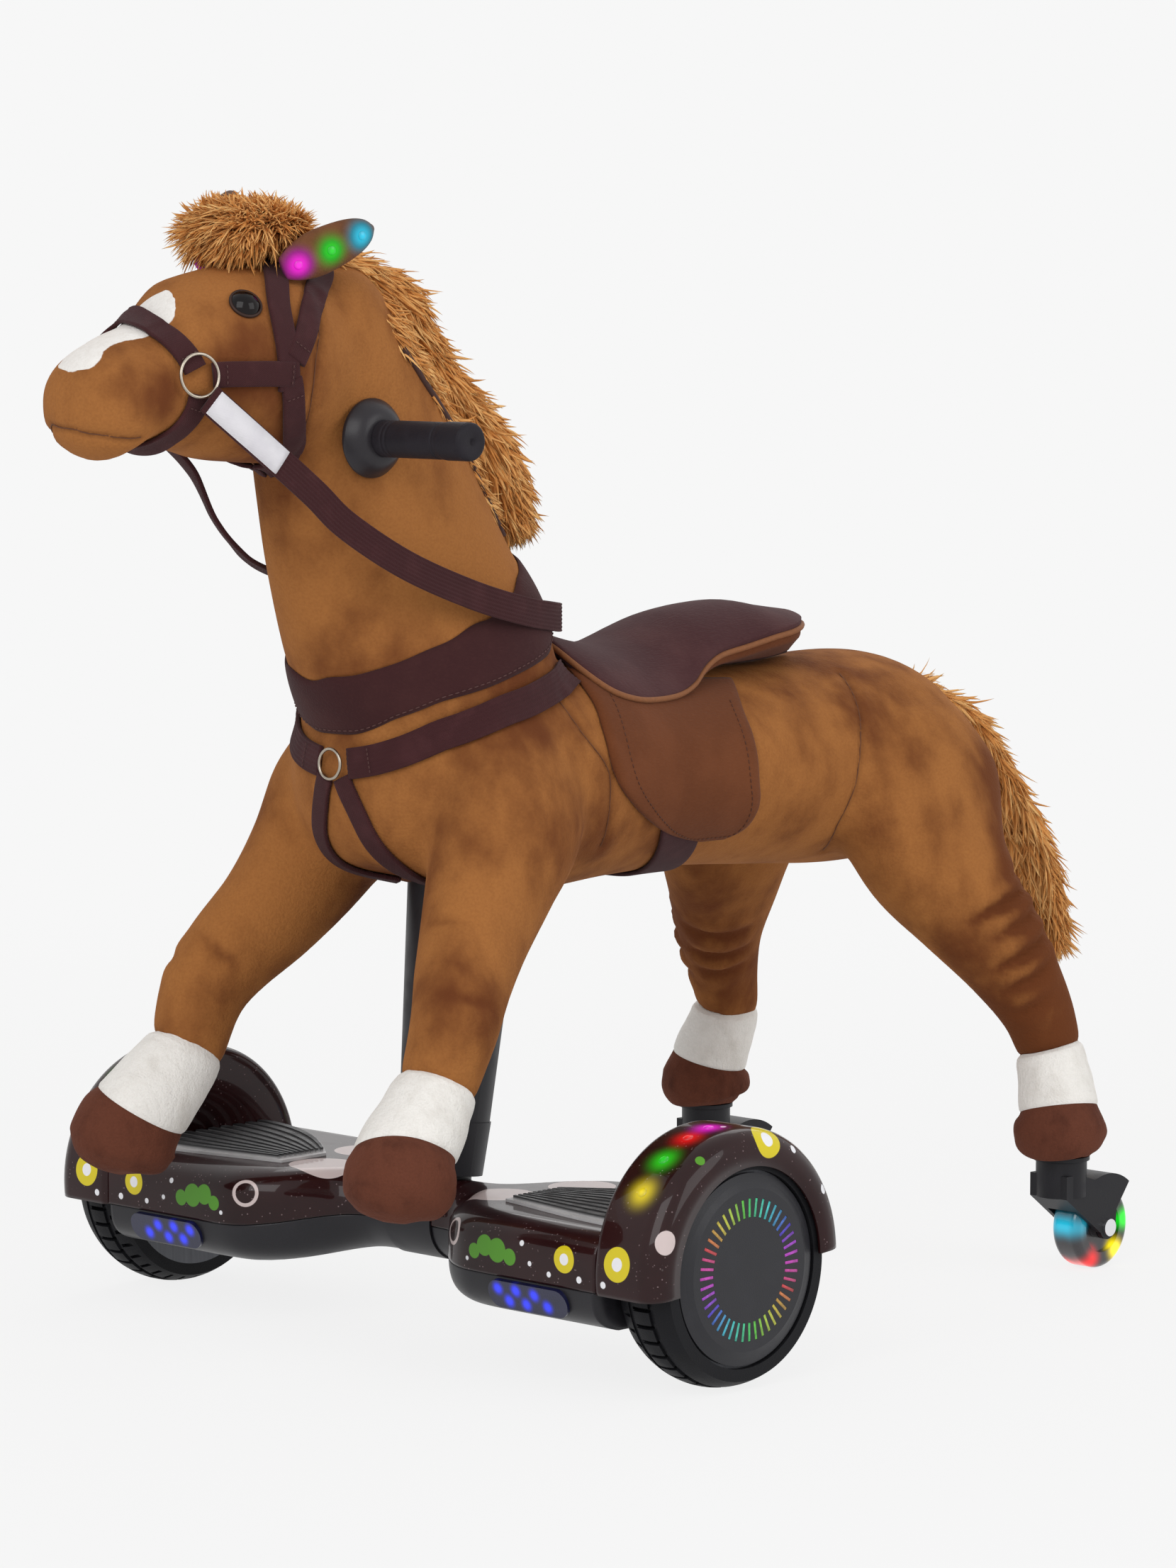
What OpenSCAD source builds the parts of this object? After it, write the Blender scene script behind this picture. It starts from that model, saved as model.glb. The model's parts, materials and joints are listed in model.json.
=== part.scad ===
// Ride-on plush horse carried by a two-wheeled tilting board and two rear casters.
// Millimetres. The horse looks along -Y, its left side is +X, and the floor is Z = 0.

/* [Drive wheels] */
// Distance between the two drive tyres, centre to centre
track_w = 546; // [520:1:600]
// Outer diameter of a drive tyre
tyre_d = 164; // [160:1:176]
// Width of a drive tyre
tyre_w = 46; // [42:1:52]
// Diameter of the rim that the tyre sits on
rim_d = 134; // [126:1:140]
// Depth of the tread grooves
tread_depth = 2.5; // [1:0.1:4]
// Number of tread blocks round each shoulder of a tyre
tread_count = 40; // [24:1:60]
// Diameter of the fixed motor axle
axle_d = 16; // [12:0.5:20]
// Diameter of the ring of light windows on a hub cover
light_ring_d = 84; // [70:1:96]
// Number of light windows on a hub cover
light_count = 44; // [20:1:60]

/* [Board] */
// Depth of the board from front to back
board_d = 186; // [172:1:200]
// Height of the deck above the axle line
deck_rise = 29; // [26:0.5:34]
// Depth of the board's belly below the axle line
belly_drop = 39; // [34:0.5:44]
// Diameter of the round waist between the halves
waist_d = 56; // [52:1:60]
// Width of the fixed collar between the halves
collar_w = 45; // [36:1:54]
// Wall of the board's mouldings
shell_wall = 3; // [2:0.1:4]
// Outer radius of a mudguard
guard_r = 95; // [92:0.5:104]
// Height of a foot pad above the deck
pad_h = 5; // [3:0.5:8]
// Number of ridges on a foot pad
ridge_count = 10; // [6:1:12]
// Length of a front lamp
lamp_l = 74; // [50:1:90]
// Height of a front lamp
lamp_h = 20; // [14:1:24]
// Diameter of the shaft that both halves tilt on
shaft_d = 36; // [30:0.5:40]

/* [Post] */
// Diameter of the post's foot
post_low_d = 60; // [54:1:64]
// Diameter of the post where it enters the horse
post_high_d = 82; // [70:1:90]
// Height of the post's top end
post_top_z = 334; // [324:1:344]
// Height of the seam between clamp and post
post_seam_z = 150; // [140:1:170]
// Backward lean of the post
post_lean = 7; // [4:0.5:10]
// Diameter of the steel tube inside the post
post_tube_d = 40; // [34:0.5:46]

/* [Horse] */
// Length of the body from chest to rump
body_l = 600; // [580:1:620]
// Greatest width of the body
body_w = 212; // [200:1:226]
// Greatest height of the body
body_h = 176; // [166:1:186]
// Height of the body's middle line
body_z = 392; // [386:1:398]
// How far the chest reaches in front of the drive axle
chest_lead = 95; // [90:1:100]
// Width of the neck at its root
neck_w = 176; // [164:1:186]
// Depth of the neck at its root
neck_d = 200; // [188:1:212]
// Rise of the neck
neck_rise = 317; // [305:1:329]
// Forward reach of the neck
neck_reach = 136; // [128:1:144]
// Length of the head
head_l = 235; // [222:1:246]
// Width of the head
head_w = 128; // [118:1:138]
// Height of the head at the cheeks
head_h = 132; // [124:1:140]
// Width of a leg at its root
leg_w = 92; // [84:1:100]
// Depth of a front leg at its root
front_leg_d = 136; // [124:1:146]
// Depth of a rear leg at its root
rear_leg_d = 164; // [150:1:176]
// Diameter of an eye
eye_d = 22; // [16:1:28]
// Length of an ear
ear_l = 70; // [60:1:90]
// Length of the tail's fall
tail_fall = 230; // [200:1:260]
// How far the tail stands out behind the rump
tail_reach = 173; // [150:1:185]

/* [Tack] */
// Width of the webbing
strap_w = 26; // [20:0.5:32]
// Width of the girth
girth_w = 46; // [36:1:54]
// Thickness of webbing and felt
strap_t = 3; // [2:0.1:4]
// Height of the cantle above the horse's back
cantle_h = 40; // [30:1:48]
// Outer diameter of a bit ring
ring_d = 36; // [28:1:44]
// Wire diameter of a ring
ring_wire = 3.6; // [2.5:0.1:5]

/* [Handles] */
// Distance between the ends of the two handles
handle_span = 300; // [280:1:330]
// Diameter of a rubber grip
grip_d = 26; // [24:0.5:32]
// Diameter of a handle's round flange
flange_d = 54; // [48:1:66]
// Height of the handles above the floor
handle_z = 633; // [620:1:645]
// Diameter of the steel bar through the neck
bar_d = 18; // [14:0.5:20]

/* [Casters] */
// Diameter of a caster wheel
caster_d = 63; // [58:0.5:68]
// Width of a caster wheel
caster_w = 25; // [20:0.5:28]
// Distance from a swivel axis back to its wheel axle
caster_trail = 34; // [28:0.5:40]
// Diameter of a caster's swivel housing
housing_d = 38; // [34:0.5:44]
// Diameter of a swivel stem
stem_d = 11; // [8:0.5:14]
// Diameter of a caster axle bolt
bolt_d = 8; // [6:0.5:10]
// Thickness of a fork cheek
cheek_t = 4; // [3:0.2:5]

/* [Hidden] */
$fn = 64;

// Radial clearance of running fits
run_fit = 0.05;
// Gap between soft pieces that lie on one another
soft_gap = 0.3;
// Gap under straps and felt, which clears the facets of the form below
strap_lift = 0.5;
// Gap between faces that move past each other
face_gap = 0.5;
// Overrun of cutting shapes
overrun = 1;
// Share of a curve used to measure its direction
step_share = 0.001;
// Angle used to measure a slope round a loft
angle_step = 1;
// Power that keeps a loft's lengthwise growth at its two ends
end_power = 9;
// How far the drive axle lies in front of the part's middle
axle_lead = 178;
axle_z = tyre_d / 2;

// Curves and lofts
function unit(v) = v / norm(v);
function place(row) = [row[0], row[1], row[2]];
// Smooth curve through the rows of a table, at a share t of its length
function row_at(rows, t) =
    let (last = len(rows) - 1,
         i = min(floor(t * last), last - 1),
         u = t * last - i,
         p0 = rows[max(i - 1, 0)],
         p1 = rows[i],
         p2 = rows[i + 1],
         p3 = rows[min(i + 2, last)])
    p1 + u / 2 * (p2 - p0 + u * (2 * p0 - 5 * p1 + 4 * p2 - p3 + u * (3 * (p1 - p2) + p3 - p0)));
function heading(rows, t) =
    unit(place(row_at(rows, min(t + step_share, 1)) - row_at(rows, max(t - step_share, 0))));
// Point of a loft at a share t of its spine and an angle w round it
function point_on(rows, t, w, grow = 0) =
    let (row = row_at(rows, t),
         ahead = heading(rows, t),
         side = unit([1, 0, 0] - ahead[0] * ahead),
         up = cross(ahead, side))
    place(row) + grow * pow(2 * t - 1, end_power) * ahead
        + (row[3] + grow) * cos(w) * side + (row[4] + grow) * sin(w) * up;
function ring_at(rows, t, sides, grow = 0) =
    [for (j = [0:sides - 1]) point_on(rows, t, 360 * j / sides, grow)];
function normal_on(rows, t, w) =
    let (du = point_on(rows, min(t + step_share, 1), w) - point_on(rows, max(t - step_share, 0), w),
         dw = point_on(rows, t, w + angle_step) - point_on(rows, t, w - angle_step))
    unit(cross(dw, du));
// Table of shares turned into places and half sizes
function sized(shares, origin, span, girth) =
    [for (s = shares) [origin[0] + s[0] * span[0], origin[1] + s[1] * span[1],
        origin[2] + s[2] * span[2], s[3] * girth[0] / 2, s[4] * girth[1] / 2]];

// Closed skin over rings with an even count of points, capped by strips between opposite points
module skin(rings, closed = false) {
    m = len(rings[0]);
    n = len(rings);
    spans = closed ? n - 1 : n - 2;
    function quad(a, b, j, k) = [[a * m + j, b * m + j, a * m + k], [a * m + k, b * m + j, b * m + k]];
    walls = [for (i = [0:spans], j = [0:m - 1]) each quad(i, (i + 1) % n, j, (j + 1) % m)];
    function pair(i) = [[i, i + 1, m - 2 - i], [i, m - 2 - i, m - 1 - i]];
    start = [for (i = [0:m / 2 - 2]) each pair(i)];
    end = [for (f = start) (n - 1) * m * [1, 1, 1] + [f[0], f[2], f[1]]];
    polyhedron(points = [for (r = rings) each r],
        faces = closed ? walls : concat(start, walls, end));
}
module loft(rows, steps, sides, grow = 0, from = 0, to = 1)
    skin([for (i = [0:steps]) ring_at(rows, from + (to - from) * i / steps, sides, grow)]);
// Flat strap along points p, standing on edge along the lifts e, with thickness along n
function strap_rings(p, e, n, width, thick) =
    [for (i = [0:len(p) - 1]) let (h = width / 2 * e[i])
        [p[i] - h, p[i] + h, p[i] + h + thick * n[i], p[i] - h + thick * n[i]]];
// Strap that lies on a loft along a path of [t, w] pairs
module strap_on(rows, path, steps, width, thick, lift, closed = false) {
    count = closed ? steps - 1 : steps;
    spots = [for (i = [0:count]) row_at(path, i / steps)];
    n = [for (s = spots) normal_on(rows, s[0], s[1])];
    p = [for (i = [0:count]) point_on(rows, spots[i][0], spots[i][1]) + lift * n[i]];
    function ahead(i) = closed ? p[(i + 1) % steps] - p[(i + steps - 1) % steps]
        : p[min(i + 1, count)] - p[max(i - 1, 0)];
    e = [for (i = [0:count]) unit(cross(n[i], ahead(i)))];
    skin(strap_rings(p, e, n, width, thick), closed);
}
// Sheet on a loft between two edges, given as rows of [w, t front, t back]
module sheet_on(rows, edges, steps, across, thick, lift) {
    rings = [for (i = [0:steps]) let (s = row_at(edges, i / steps))
        concat([for (k = [0:across]) point_on(rows, s[1] + (s[2] - s[1]) * k / across, s[0], lift)],
            [for (k = [across:-1:0]) point_on(rows, s[1] + (s[2] - s[1]) * k / across, s[0], lift + thick)])];
    skin(rings);
}

// Height of a weld bead round a tube joint
weld = 1.2;
// Frames of reference
module on_axle() translate([0, -axle_lead, 0]) children();
module on_side(s) if (s > 0) children(); else mirror([1, 0, 0]) children();
module both_sides() { on_side(1) children(); on_side(-1) children(); }
module along_x(x) translate([x, 0, 0]) rotate([0, 90, 0]) children();
module rod(a, b, d) {
    v = b - a;
    translate(a) rotate([0, acos(v[2] / norm(v)), atan2(v[1], v[0])]) cylinder(d = d, h = norm(v));
}
module bent_rod(points, d) {
    for (i = [0:len(points) - 2]) rod(points[i], points[i + 1], d);
    for (i = [1:len(points) - 2]) translate(points[i]) sphere(d = d + 2 * weld);
}

// Shape of the horse, as shares of its sizes: along X, Y and Z, then half width and half depth
torso_shares = [
    [0, 0, 0.045, 0.11, 0.16], [0, 0.02, 0.045, 0.5, 0.56], [0, 0.075, 0.035, 0.83, 0.88],
    [0, 0.16, 0.015, 0.99, 1], [0, 0.275, 0, 1, 0.98], [0, 0.41, -0.03, 0.94, 0.86],
    [0, 0.54, -0.05, 0.92, 0.81], [0, 0.675, -0.07, 0.95, 0.83], [0, 0.81, -0.07, 1.01, 0.89],
    [0, 0.9, -0.06, 0.98, 0.85], [0, 0.963, -0.045, 0.75, 0.66], [0, 0.992, -0.035, 0.45, 0.41],
    [0, 1, -0.03, 0.11, 0.11]];
neck_shares = [
    [0, 0, 0, 1, 0.88], [0, 0.09, 0.14, 0.98, 0.92], [0, 0.265, 0.28, 0.84, 0.92],
    [0, 0.42, 0.43, 0.73, 0.88], [0, 0.545, 0.575, 0.66, 0.82], [0, 0.675, 0.715, 0.625, 0.72],
    [0, 0.84, 0.85, 0.59, 0.6], [0, 0.935, 0.94, 0.52, 0.5], [0, 0.985, 0.985, 0.34, 0.3],
    [0, 1, 1, 0.09, 0.08]];
head_shares = [
    [0, 0, 0, 0.47, 0.45], [0, 0.085, -0.015, 0.78, 0.83], [0, 0.235, -0.045, 0.97, 1],
    [0, 0.405, -0.05, 1, 0.985], [0, 0.545, -0.075, 0.91, 0.91], [0, 0.67, -0.12, 0.78, 0.73],
    [0, 0.785, -0.195, 0.72, 0.64], [0, 0.885, -0.24, 0.7, 0.575], [0, 0.953, -0.258, 0.58, 0.47],
    [0, 0.987, -0.265, 0.34, 0.29], [0, 1, -0.265, 0.09, 0.08]];
front_limb_shares = [
    [0, 0, 0, 0.87, 0.82], [0.25, 0.08, 0.145, 0.955, 0.88], [0.35, 0.215, 0.28, 0.87, 0.735],
    [0.49, 0.365, 0.4, 0.76, 0.6], [0.675, 0.51, 0.5, 0.685, 0.515], [0.8, 0.605, 0.59, 0.63, 0.455],
    [0.8, 0.69, 0.715, 0.565, 0.4], [0.84, 0.78, 0.785, 0.64, 0.45], [0.89, 0.885, 0.855, 0.72, 0.5],
    [0.94, 0.94, 0.9, 0.8, 0.55], [0.975, 0.973, 0.948, 0.76, 0.53], [0.993, 0.992, 0.98, 0.565, 0.4],
    [1, 1, 1, 0.17, 0.12]];
rear_limb_shares = [
    [0, 0, 0, 0.875, 0.915], [0.185, 0.03, 0.12, 1, 1], [0.34, 0.155, 0.265, 1, 0.855],
    [0.525, 0.405, 0.405, 0.855, 0.635], [0.71, 0.67, 0.54, 0.69, 0.44], [0.815, 0.94, 0.655, 0.56, 0.34],
    [0.855, 1.08, 0.75, 0.51, 0.305], [0.915, 1.05, 0.82, 0.56, 0.34], [0.975, 1, 0.89, 0.625, 0.37],
    [0.99, 0.985, 0.93, 0.71, 0.42], [1, 0.985, 0.968, 0.69, 0.415], [1, 1, 0.992, 0.54, 0.315],
    [1, 1, 1, 0.4, 0.23]];
// Places on a limb's spine where the sock and the hoof begin
sock_share = 6 / 12;
hoof_share = 8 / 12;
// Anchor points of the horse's lofts and the spans that their shares follow
neck_root = [0, 2, 425];
head_root = [0, -100, 690];
front_limb_root = [62, 5, 415];
front_limb_span = [80, -183, -297.5];
rear_limb_root = [62, 410, 400];
rear_limb_span = [118, 64, -311.5];
torso_rows = sized(torso_shares, [0, -chest_lead, body_z], [0, body_l, body_h], [body_w, body_h]);
neck_rows = sized(neck_shares, neck_root, [0, -neck_reach, neck_rise], [neck_w, neck_d]);
head_rows = sized(head_shares, head_root, [0, -head_l, head_h], [head_w, head_h]);
front_limb_rows = sized(front_limb_shares, front_limb_root, front_limb_span, [leg_w, front_leg_d]);
rear_limb_rows = sized(rear_limb_shares, rear_limb_root, rear_limb_span, [leg_w, rear_leg_d]);

module torso_form(grow = 0) loft(torso_rows, 18, 20, grow);
module neck_form(grow = 0) loft(neck_rows, 12, 18, grow);
module head_form(grow = 0) loft(head_rows, 16, 18, grow);
module trunk_form(grow = 0) { torso_form(grow); neck_form(grow); }
// Stand on a loft's surface, with the outward direction along Z
module at_surface(rows, t, w, lift) {
    n = normal_on(rows, t, w);
    u = heading(rows, t);
    a = unit(u - (u * n) * n);
    b = cross(n, a);
    p = point_on(rows, t, w) + lift * n;
    multmatrix([[a[0], b[0], n[0], p[0]], [a[1], b[1], n[1], p[1]], [a[2], b[2], n[2], p[2]]]) children();
}

// Steel skeleton inside the plush
spine_d = 25;
leg_tube_d = 20;
spine_z = 372;
spine_front_y = 36;
spine_back_y = 414;
hip_x = 72;
hock = [152, 462, 220];
ankle = [165, 477, 160];
handle_lead = 111;
sleeve_wall = 5;
function end_of(rows) = place(rows[len(rows) - 1]);
caster_spot = end_of(rear_limb_rows);
hoof_z = caster_spot[2];
tube_inset = 4;
tube_end = caster_spot + [0, 0, tube_inset];
module post_axis() translate([0, 0, axle_z]) rotate([-post_lean, 0, 0]) children();
// Height along the leaning post of a height above the floor
function post_h(z) = (z - axle_z) / cos(post_lean);
post_low_h = waist_d / 2;
post_seam_h = post_h(post_seam_z);
post_top_h = post_h(post_top_z);
function post_d(h) =
    post_low_d + (post_high_d - post_low_d) * (h - post_low_h) / (post_top_h - post_low_h);
module frame_tubes(gap = 0) {
    spine_front = [0, spine_front_y, spine_z];
    rod(spine_front, [0, spine_back_y, spine_z], spine_d + 2 * gap);
    rod([-hip_x, spine_back_y, spine_z], [hip_x, spine_back_y, spine_z], spine_d + 2 * gap);
    rod(spine_front, [0, -handle_lead, handle_z], spine_d + 2 * gap);
    translate(spine_front) sphere(d = spine_d + 2 * weld + 2 * gap);
    both_sides() bent_rod([[hip_x, spine_back_y, spine_z], hock, ankle, tube_end], leg_tube_d + 2 * gap);
    both_sides() translate([hip_x, spine_back_y, spine_z]) sphere(d = spine_d + 2 * weld + 2 * gap);
    post_axis() translate([0, 0, post_top_h + face_gap - gap])
        cylinder(d = post_tube_d + 2 * sleeve_wall + 2 * gap, h = post_h(spine_z) - post_top_h + 2 * gap);
}
module bar_space(gap) translate([0, -handle_lead, handle_z])
    along_x(-handle_span / 2) cylinder(d = bar_d + 2 * gap, h = handle_span);
module post_space(gap) post_axis()
    cylinder(d1 = post_d(0) + 2 * gap, d2 = post_d(post_top_h + gap) + 2 * gap, h = post_top_h + gap);

// Plush
flange_seat_x = 52;
module flange_space() both_sides() translate([flange_seat_x, -handle_lead, handle_z])
    rotate([0, 90, 0]) cylinder(d = flange_d + 2 * soft_gap, h = handle_span / 2);
module torso_plush() color("peru") on_axle() difference() {
    torso_form();
    frame_tubes(soft_gap);
    post_space(soft_gap);
}
module neck_plush() color("peru") on_axle() difference() {
    neck_form();
    torso_form(soft_gap);
    frame_tubes(soft_gap);
    bar_space(soft_gap);
    flange_space();
}
module head_plush() color("peru") on_axle() difference() {
    head_form();
    neck_form(soft_gap);
    both_sides() at_surface(head_rows, eye_place_shares[0], eye_place_shares[1], -eye_sink - run_fit)
        cylinder(d = eye_d + 2 * soft_gap, h = eye_d);
}
module front_leg_form(grow = 0) loft(front_limb_rows, 10, 14, grow, 0, sock_share);
module front_leg(s) color("peru") on_axle() difference() {
    on_side(s) front_leg_form();
    trunk_form(soft_gap);
}
module rear_leg(s) color("peru") on_axle() difference() {
    on_side(s) loft(rear_limb_rows, 10, 14, 0, 0, sock_share);
    torso_form(soft_gap);
    frame_tubes(soft_gap);
}
module front_leg_left() front_leg(1);
module front_leg_right() front_leg(-1);
module rear_leg_left() rear_leg(1);
module rear_leg_right() rear_leg(-1);
module socks() color("white") on_axle() both_sides() {
    loft(front_limb_rows, 3, 14, 0, sock_share, hoof_share);
    difference() {
        loft(rear_limb_rows, 3, 14, 0, sock_share, hoof_share);
        bent_rod([hock, ankle, tube_end], leg_tube_d + 2 * soft_gap);
    }
}
module hooves() color("saddlebrown") on_axle() both_sides() {
    loft(front_limb_rows, 6, 14, 0, hoof_share, 1);
    difference() {
        loft(rear_limb_rows, 6, 14, 0, hoof_share, 1);
        rod(ankle, tube_end + (tube_end - ankle), leg_tube_d + 2 * soft_gap);
    }
}

// Ears: shares of length, half thickness and half width
ear_w = 38;
ear_t = 17;
ear_shares = [[0, 0.9, 0.55], [0.25, 1, 1], [0.6, 0.8, 0.85], [0.9, 0.45, 0.4], [1, 0.1, 0.1]];
ear_root = [44, -172, 738];
left_ear_way = [0.15, 0.83, 0.53];
right_ear_way = [0.08, 0.3, 0.95];
function ear_rows(way) = [for (s = ear_shares) let (p = ear_root + s[0] * ear_l * unit(way))
    [p[0], p[1], p[2], s[1] * ear_t / 2, s[2] * ear_w / 2]];
light_d = 10;
light_h = 2;
ear_light_shares = [0.4, 0.6, 0.8];
module ear(way) difference() { loft(ear_rows(way), 8, 12); head_form(soft_gap); neck_form(soft_gap); }
module ears() color("peru") on_axle() {
    ear(left_ear_way);
    on_side(-1) ear(right_ear_way);
}
module ear_light_row(way) for (t = ear_light_shares)
    at_surface(ear_rows(way), t, 0, soft_gap) cylinder(d = light_d * (1 - t / 3), h = light_h);
module ear_lights() color("magenta") on_axle() {
    ear_light_row(left_ear_way);
    on_side(-1) ear_light_row(right_ear_way);
}
eye_place_shares = [0.355, 42];
eye_h = 7;
eye_sink = 3;
eye_ball = (eye_d * eye_d / 4 + eye_h * eye_h) / (2 * eye_h);
module eyes() color("black") on_axle() both_sides()
    at_surface(head_rows, eye_place_shares[0], eye_place_shares[1], -eye_sink) rotate_extrude() union() {
        square([eye_d / 2, eye_sink]);
        translate([0, eye_sink]) intersection() {
            translate([0, eye_h - eye_ball]) circle(eye_ball);
            square([eye_d / 2, eye_h]);
        }
    }

// Long fur: shares along the run and rise, then half width and half depth
fur_w = 84;
fur_d = 64;
forelock_root = [0, -128, 764];
forelock_shares = [
    [0, 0, 0, 0.35, 0.35], [0, 0.17, 0.4, 0.75, 0.65], [0, 0.41, 0.6, 0.95, 0.72], [0, 0.66, 0.5, 0.95, 0.72],
    [0, 0.86, 0.2, 0.75, 0.58], [0, 1, -0.2, 0.3, 0.25]];
forelock_run = 98;
forelock_rise = 20;
forelock_rows = sized(forelock_shares, forelock_root, [0, -forelock_run, forelock_rise], [fur_w, fur_d]);
mane_root = [0, -140, 758];
mane_run = 212;
mane_fall = 205;
mane_shares = [
    [0, 0, 0, 0.3, 0.3], [0, 0.16, 0.02, 0.6, 0.66], [0, 0.335, 0.08, 0.65, 0.75], [0, 0.46, 0.13, 0.65, 0.8],
    [0, 0.535, 0.24, 0.65, 0.8], [0, 0.615, 0.355, 0.65, 0.8], [0, 0.7, 0.455, 0.65, 0.82],
    [0, 0.82, 0.56, 0.65, 0.86], [0, 0.91, 0.66, 0.65, 0.88], [0, 0.965, 0.78, 0.62, 0.86],
    [0, 1, 0.88, 0.5, 0.7], [0, 1, 1, 0.15, 0.2]];
mane_rows = sized(mane_shares, mane_root, [0, mane_run, -mane_fall], [fur_w, fur_d]);
tail_inset = 35;
tail_root = [0, body_l - chest_lead - tail_inset, 436];
tail_shares = [
    [0, 0, 0, 0.36, 0.45], [0, 0.245, 0.057, 0.55, 0.55], [0, 0.452, 0.148, 0.7, 0.63], [0, 0.596, 0.291, 0.8, 0.7],
    [0, 0.74, 0.47, 0.85, 0.75], [0, 0.889, 0.674, 0.78, 0.72], [0, 0.976, 0.852, 0.58, 0.6], [0, 1, 1, 0.15, 0.15]];
tail_rows = sized(tail_shares, tail_root, [0, tail_reach + tail_inset, -tail_fall], [fur_w, fur_d]);
module forelock() color("goldenrod") on_axle() difference() {
    loft(forelock_rows, 10, 14);
    head_form(noseband_lift + strap_t + soft_gap);
    loft(ear_rows(left_ear_way), 8, 12, soft_gap);
    on_side(-1) loft(ear_rows(right_ear_way), 8, 12, soft_gap);
    loft(mane_rows, 16, 14, soft_gap);
}
module mane() color("goldenrod") on_axle() difference() {
    loft(mane_rows, 16, 14);
    trunk_form(soft_gap);
    head_form(noseband_lift + strap_t + soft_gap);
}
module tail() color("goldenrod") on_axle() difference() {
    loft(tail_rows, 14, 14);
    torso_form(soft_gap);
}

// Tack
bridle_w = 20;
noseband_lift = 2.2;
noseband_shares = [
    [0.565, 90], [0.545, 45], [0.515, 0], [0.53, -45], [0.55, -90], [0.53, -135], [0.515, -180],
    [0.545, -225], [0.565, -270]];
cheek_shares = [[0.486, -1], [0.42, -3], [0.33, -5]];
brow_shares = [
    [0.296, -14], [0.292, 20], [0.287, 50], [0.285, 90], [0.287, 130], [0.292, 160], [0.296, 194]];
poll_shares = [[0.258, 4], [0.225, 22], [0.2, 38]];
jaw_shares = [[0.285, -24], [0.25, -42], [0.228, -58], [0.22, -72]];
bit_place_share = 0.503;
module bridle_strap(path, steps) strap_on(head_rows, path, steps, bridle_w, strap_t, strap_lift + soft_gap);
module bridle_straps() color("#3d2323") on_axle() {
    strap_on(head_rows, noseband_shares, 24, bridle_w, strap_t, noseband_lift, true);
    bridle_strap(brow_shares, 14);
    both_sides() {
        bridle_strap(cheek_shares, 5);
        bridle_strap(poll_shares, 4);
        bridle_strap(jaw_shares, 5);
    }
}
module ring(d) rotate_extrude() translate([(d - ring_wire) / 2, 0]) circle(d = ring_wire);
ring_lift = noseband_lift + strap_t + ring_wire / 2 + soft_gap;
chest_ring_spot = [0, -106.2, 420];
chest_ring_lean = 110;
module tack_rings() color("silver") on_axle() {
    both_sides() at_surface(head_rows, bit_place_share, 0, ring_lift) ring(ring_d);
    translate(chest_ring_spot) rotate([chest_ring_lean, 0, 0]) ring(ring_d);
}
// Route of the reins from the left ring, round behind the neck, to the right ring
rein_points = [
    [61.3, -262, 655], [67, -232, 636], [74, -186, 600], [79, -160, 577], [87, -113, 549], [89, -55, 527],
    [87, -3, 513], [68, 48, 505], [38, 82, 502], [0, 94, 502], [-38, 82, 502], [-68, 48, 505], [-86, -3, 513],
    [-83, -55, 527], [-62, -108, 549], [-48, -152, 577], [-47, -186, 603], [-58, -232, 637], [-61.9, -262, 655]];
rein_steps = 36;
module reins() color("#3d2323") on_axle() {
    p = [for (i = [0:rein_steps]) row_at(rein_points, i / rein_steps)];
    ahead = [for (i = [0:rein_steps]) unit(p[min(i + 1, rein_steps)] - p[max(i - 1, 0)])];
    e = [for (u = ahead) unit([0, 0, 1] - u[2] * u)];
    n = [for (i = [0:rein_steps]) cross(ahead[i], e[i])];
    skin(strap_rings(p, e, n, strap_w, strap_t));
}
// Side outlines of the collar and the breast strap, as shares of the neck's depth from its root
collar_shares = [
    [-0.76, 0.315], [-0.385, 0.335], [-0.01, 0.415], [0.365, 0.6], [0.465, 0.525], [0.365, 0.415],
    [-0.01, 0.225], [-0.36, 0.105], [-0.535, 0.015], [-0.76, -0.025]];
breast_strap_drop = 6;
breast_strap_tilt = 14;
breast_strap_reach = 78;
function from_neck(shares) =
    [for (q = shares) [neck_root[1] + q[0] * neck_d, neck_root[2] + q[1] * neck_d]];
module side_slab() rotate([90, 0, 90]) linear_extrude(2 * neck_w, center = true) children();
module chest_form(grow) { trunk_form(grow); both_sides() front_leg_form(grow); }
module breast_collar() color("#46292a") on_axle() intersection() {
    difference() { trunk_form(strap_lift + strap_t); trunk_form(strap_lift); }
    side_slab() polygon(from_neck(collar_shares));
}
module breast_straps() color("#3d2323") on_axle() {
    intersection() {
        difference() { chest_form(strap_lift + strap_t); chest_form(strap_lift); }
        side_slab() translate([-chest_lead, neck_root[2] - breast_strap_drop]) rotate(breast_strap_tilt)
            translate([-breast_strap_reach, -strap_w / 2]) square([chest_lead + 2 * breast_strap_reach, strap_w]);
    }
    strap_on(torso_rows, girdle_shares, 8, strap_w, strap_t, strap_lift);
}
girdle_shares = [[0.05, 90], [0.09, 90], [0.14, 90], [0.185, 90]];

// Saddle: station along the body, half angle round it, heights of edge and crest as shares of the cantle
seat_shares = [
    [0.369, 14, 0.15, 0.17], [0.385, 36, 0.15, 0.2], [0.406, 47, 0.15, 0.26], [0.433, 48, 0.18, 0.4],
    [0.458, 44, 0.42, 0.6], [0.487, 39, 0.62, 0.83], [0.53, 38, 0.74, 0.98], [0.571, 37, 0.84, 1.02],
    [0.605, 27, 0.93, 1], [0.619, 15, 0.8, 0.86]];
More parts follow.
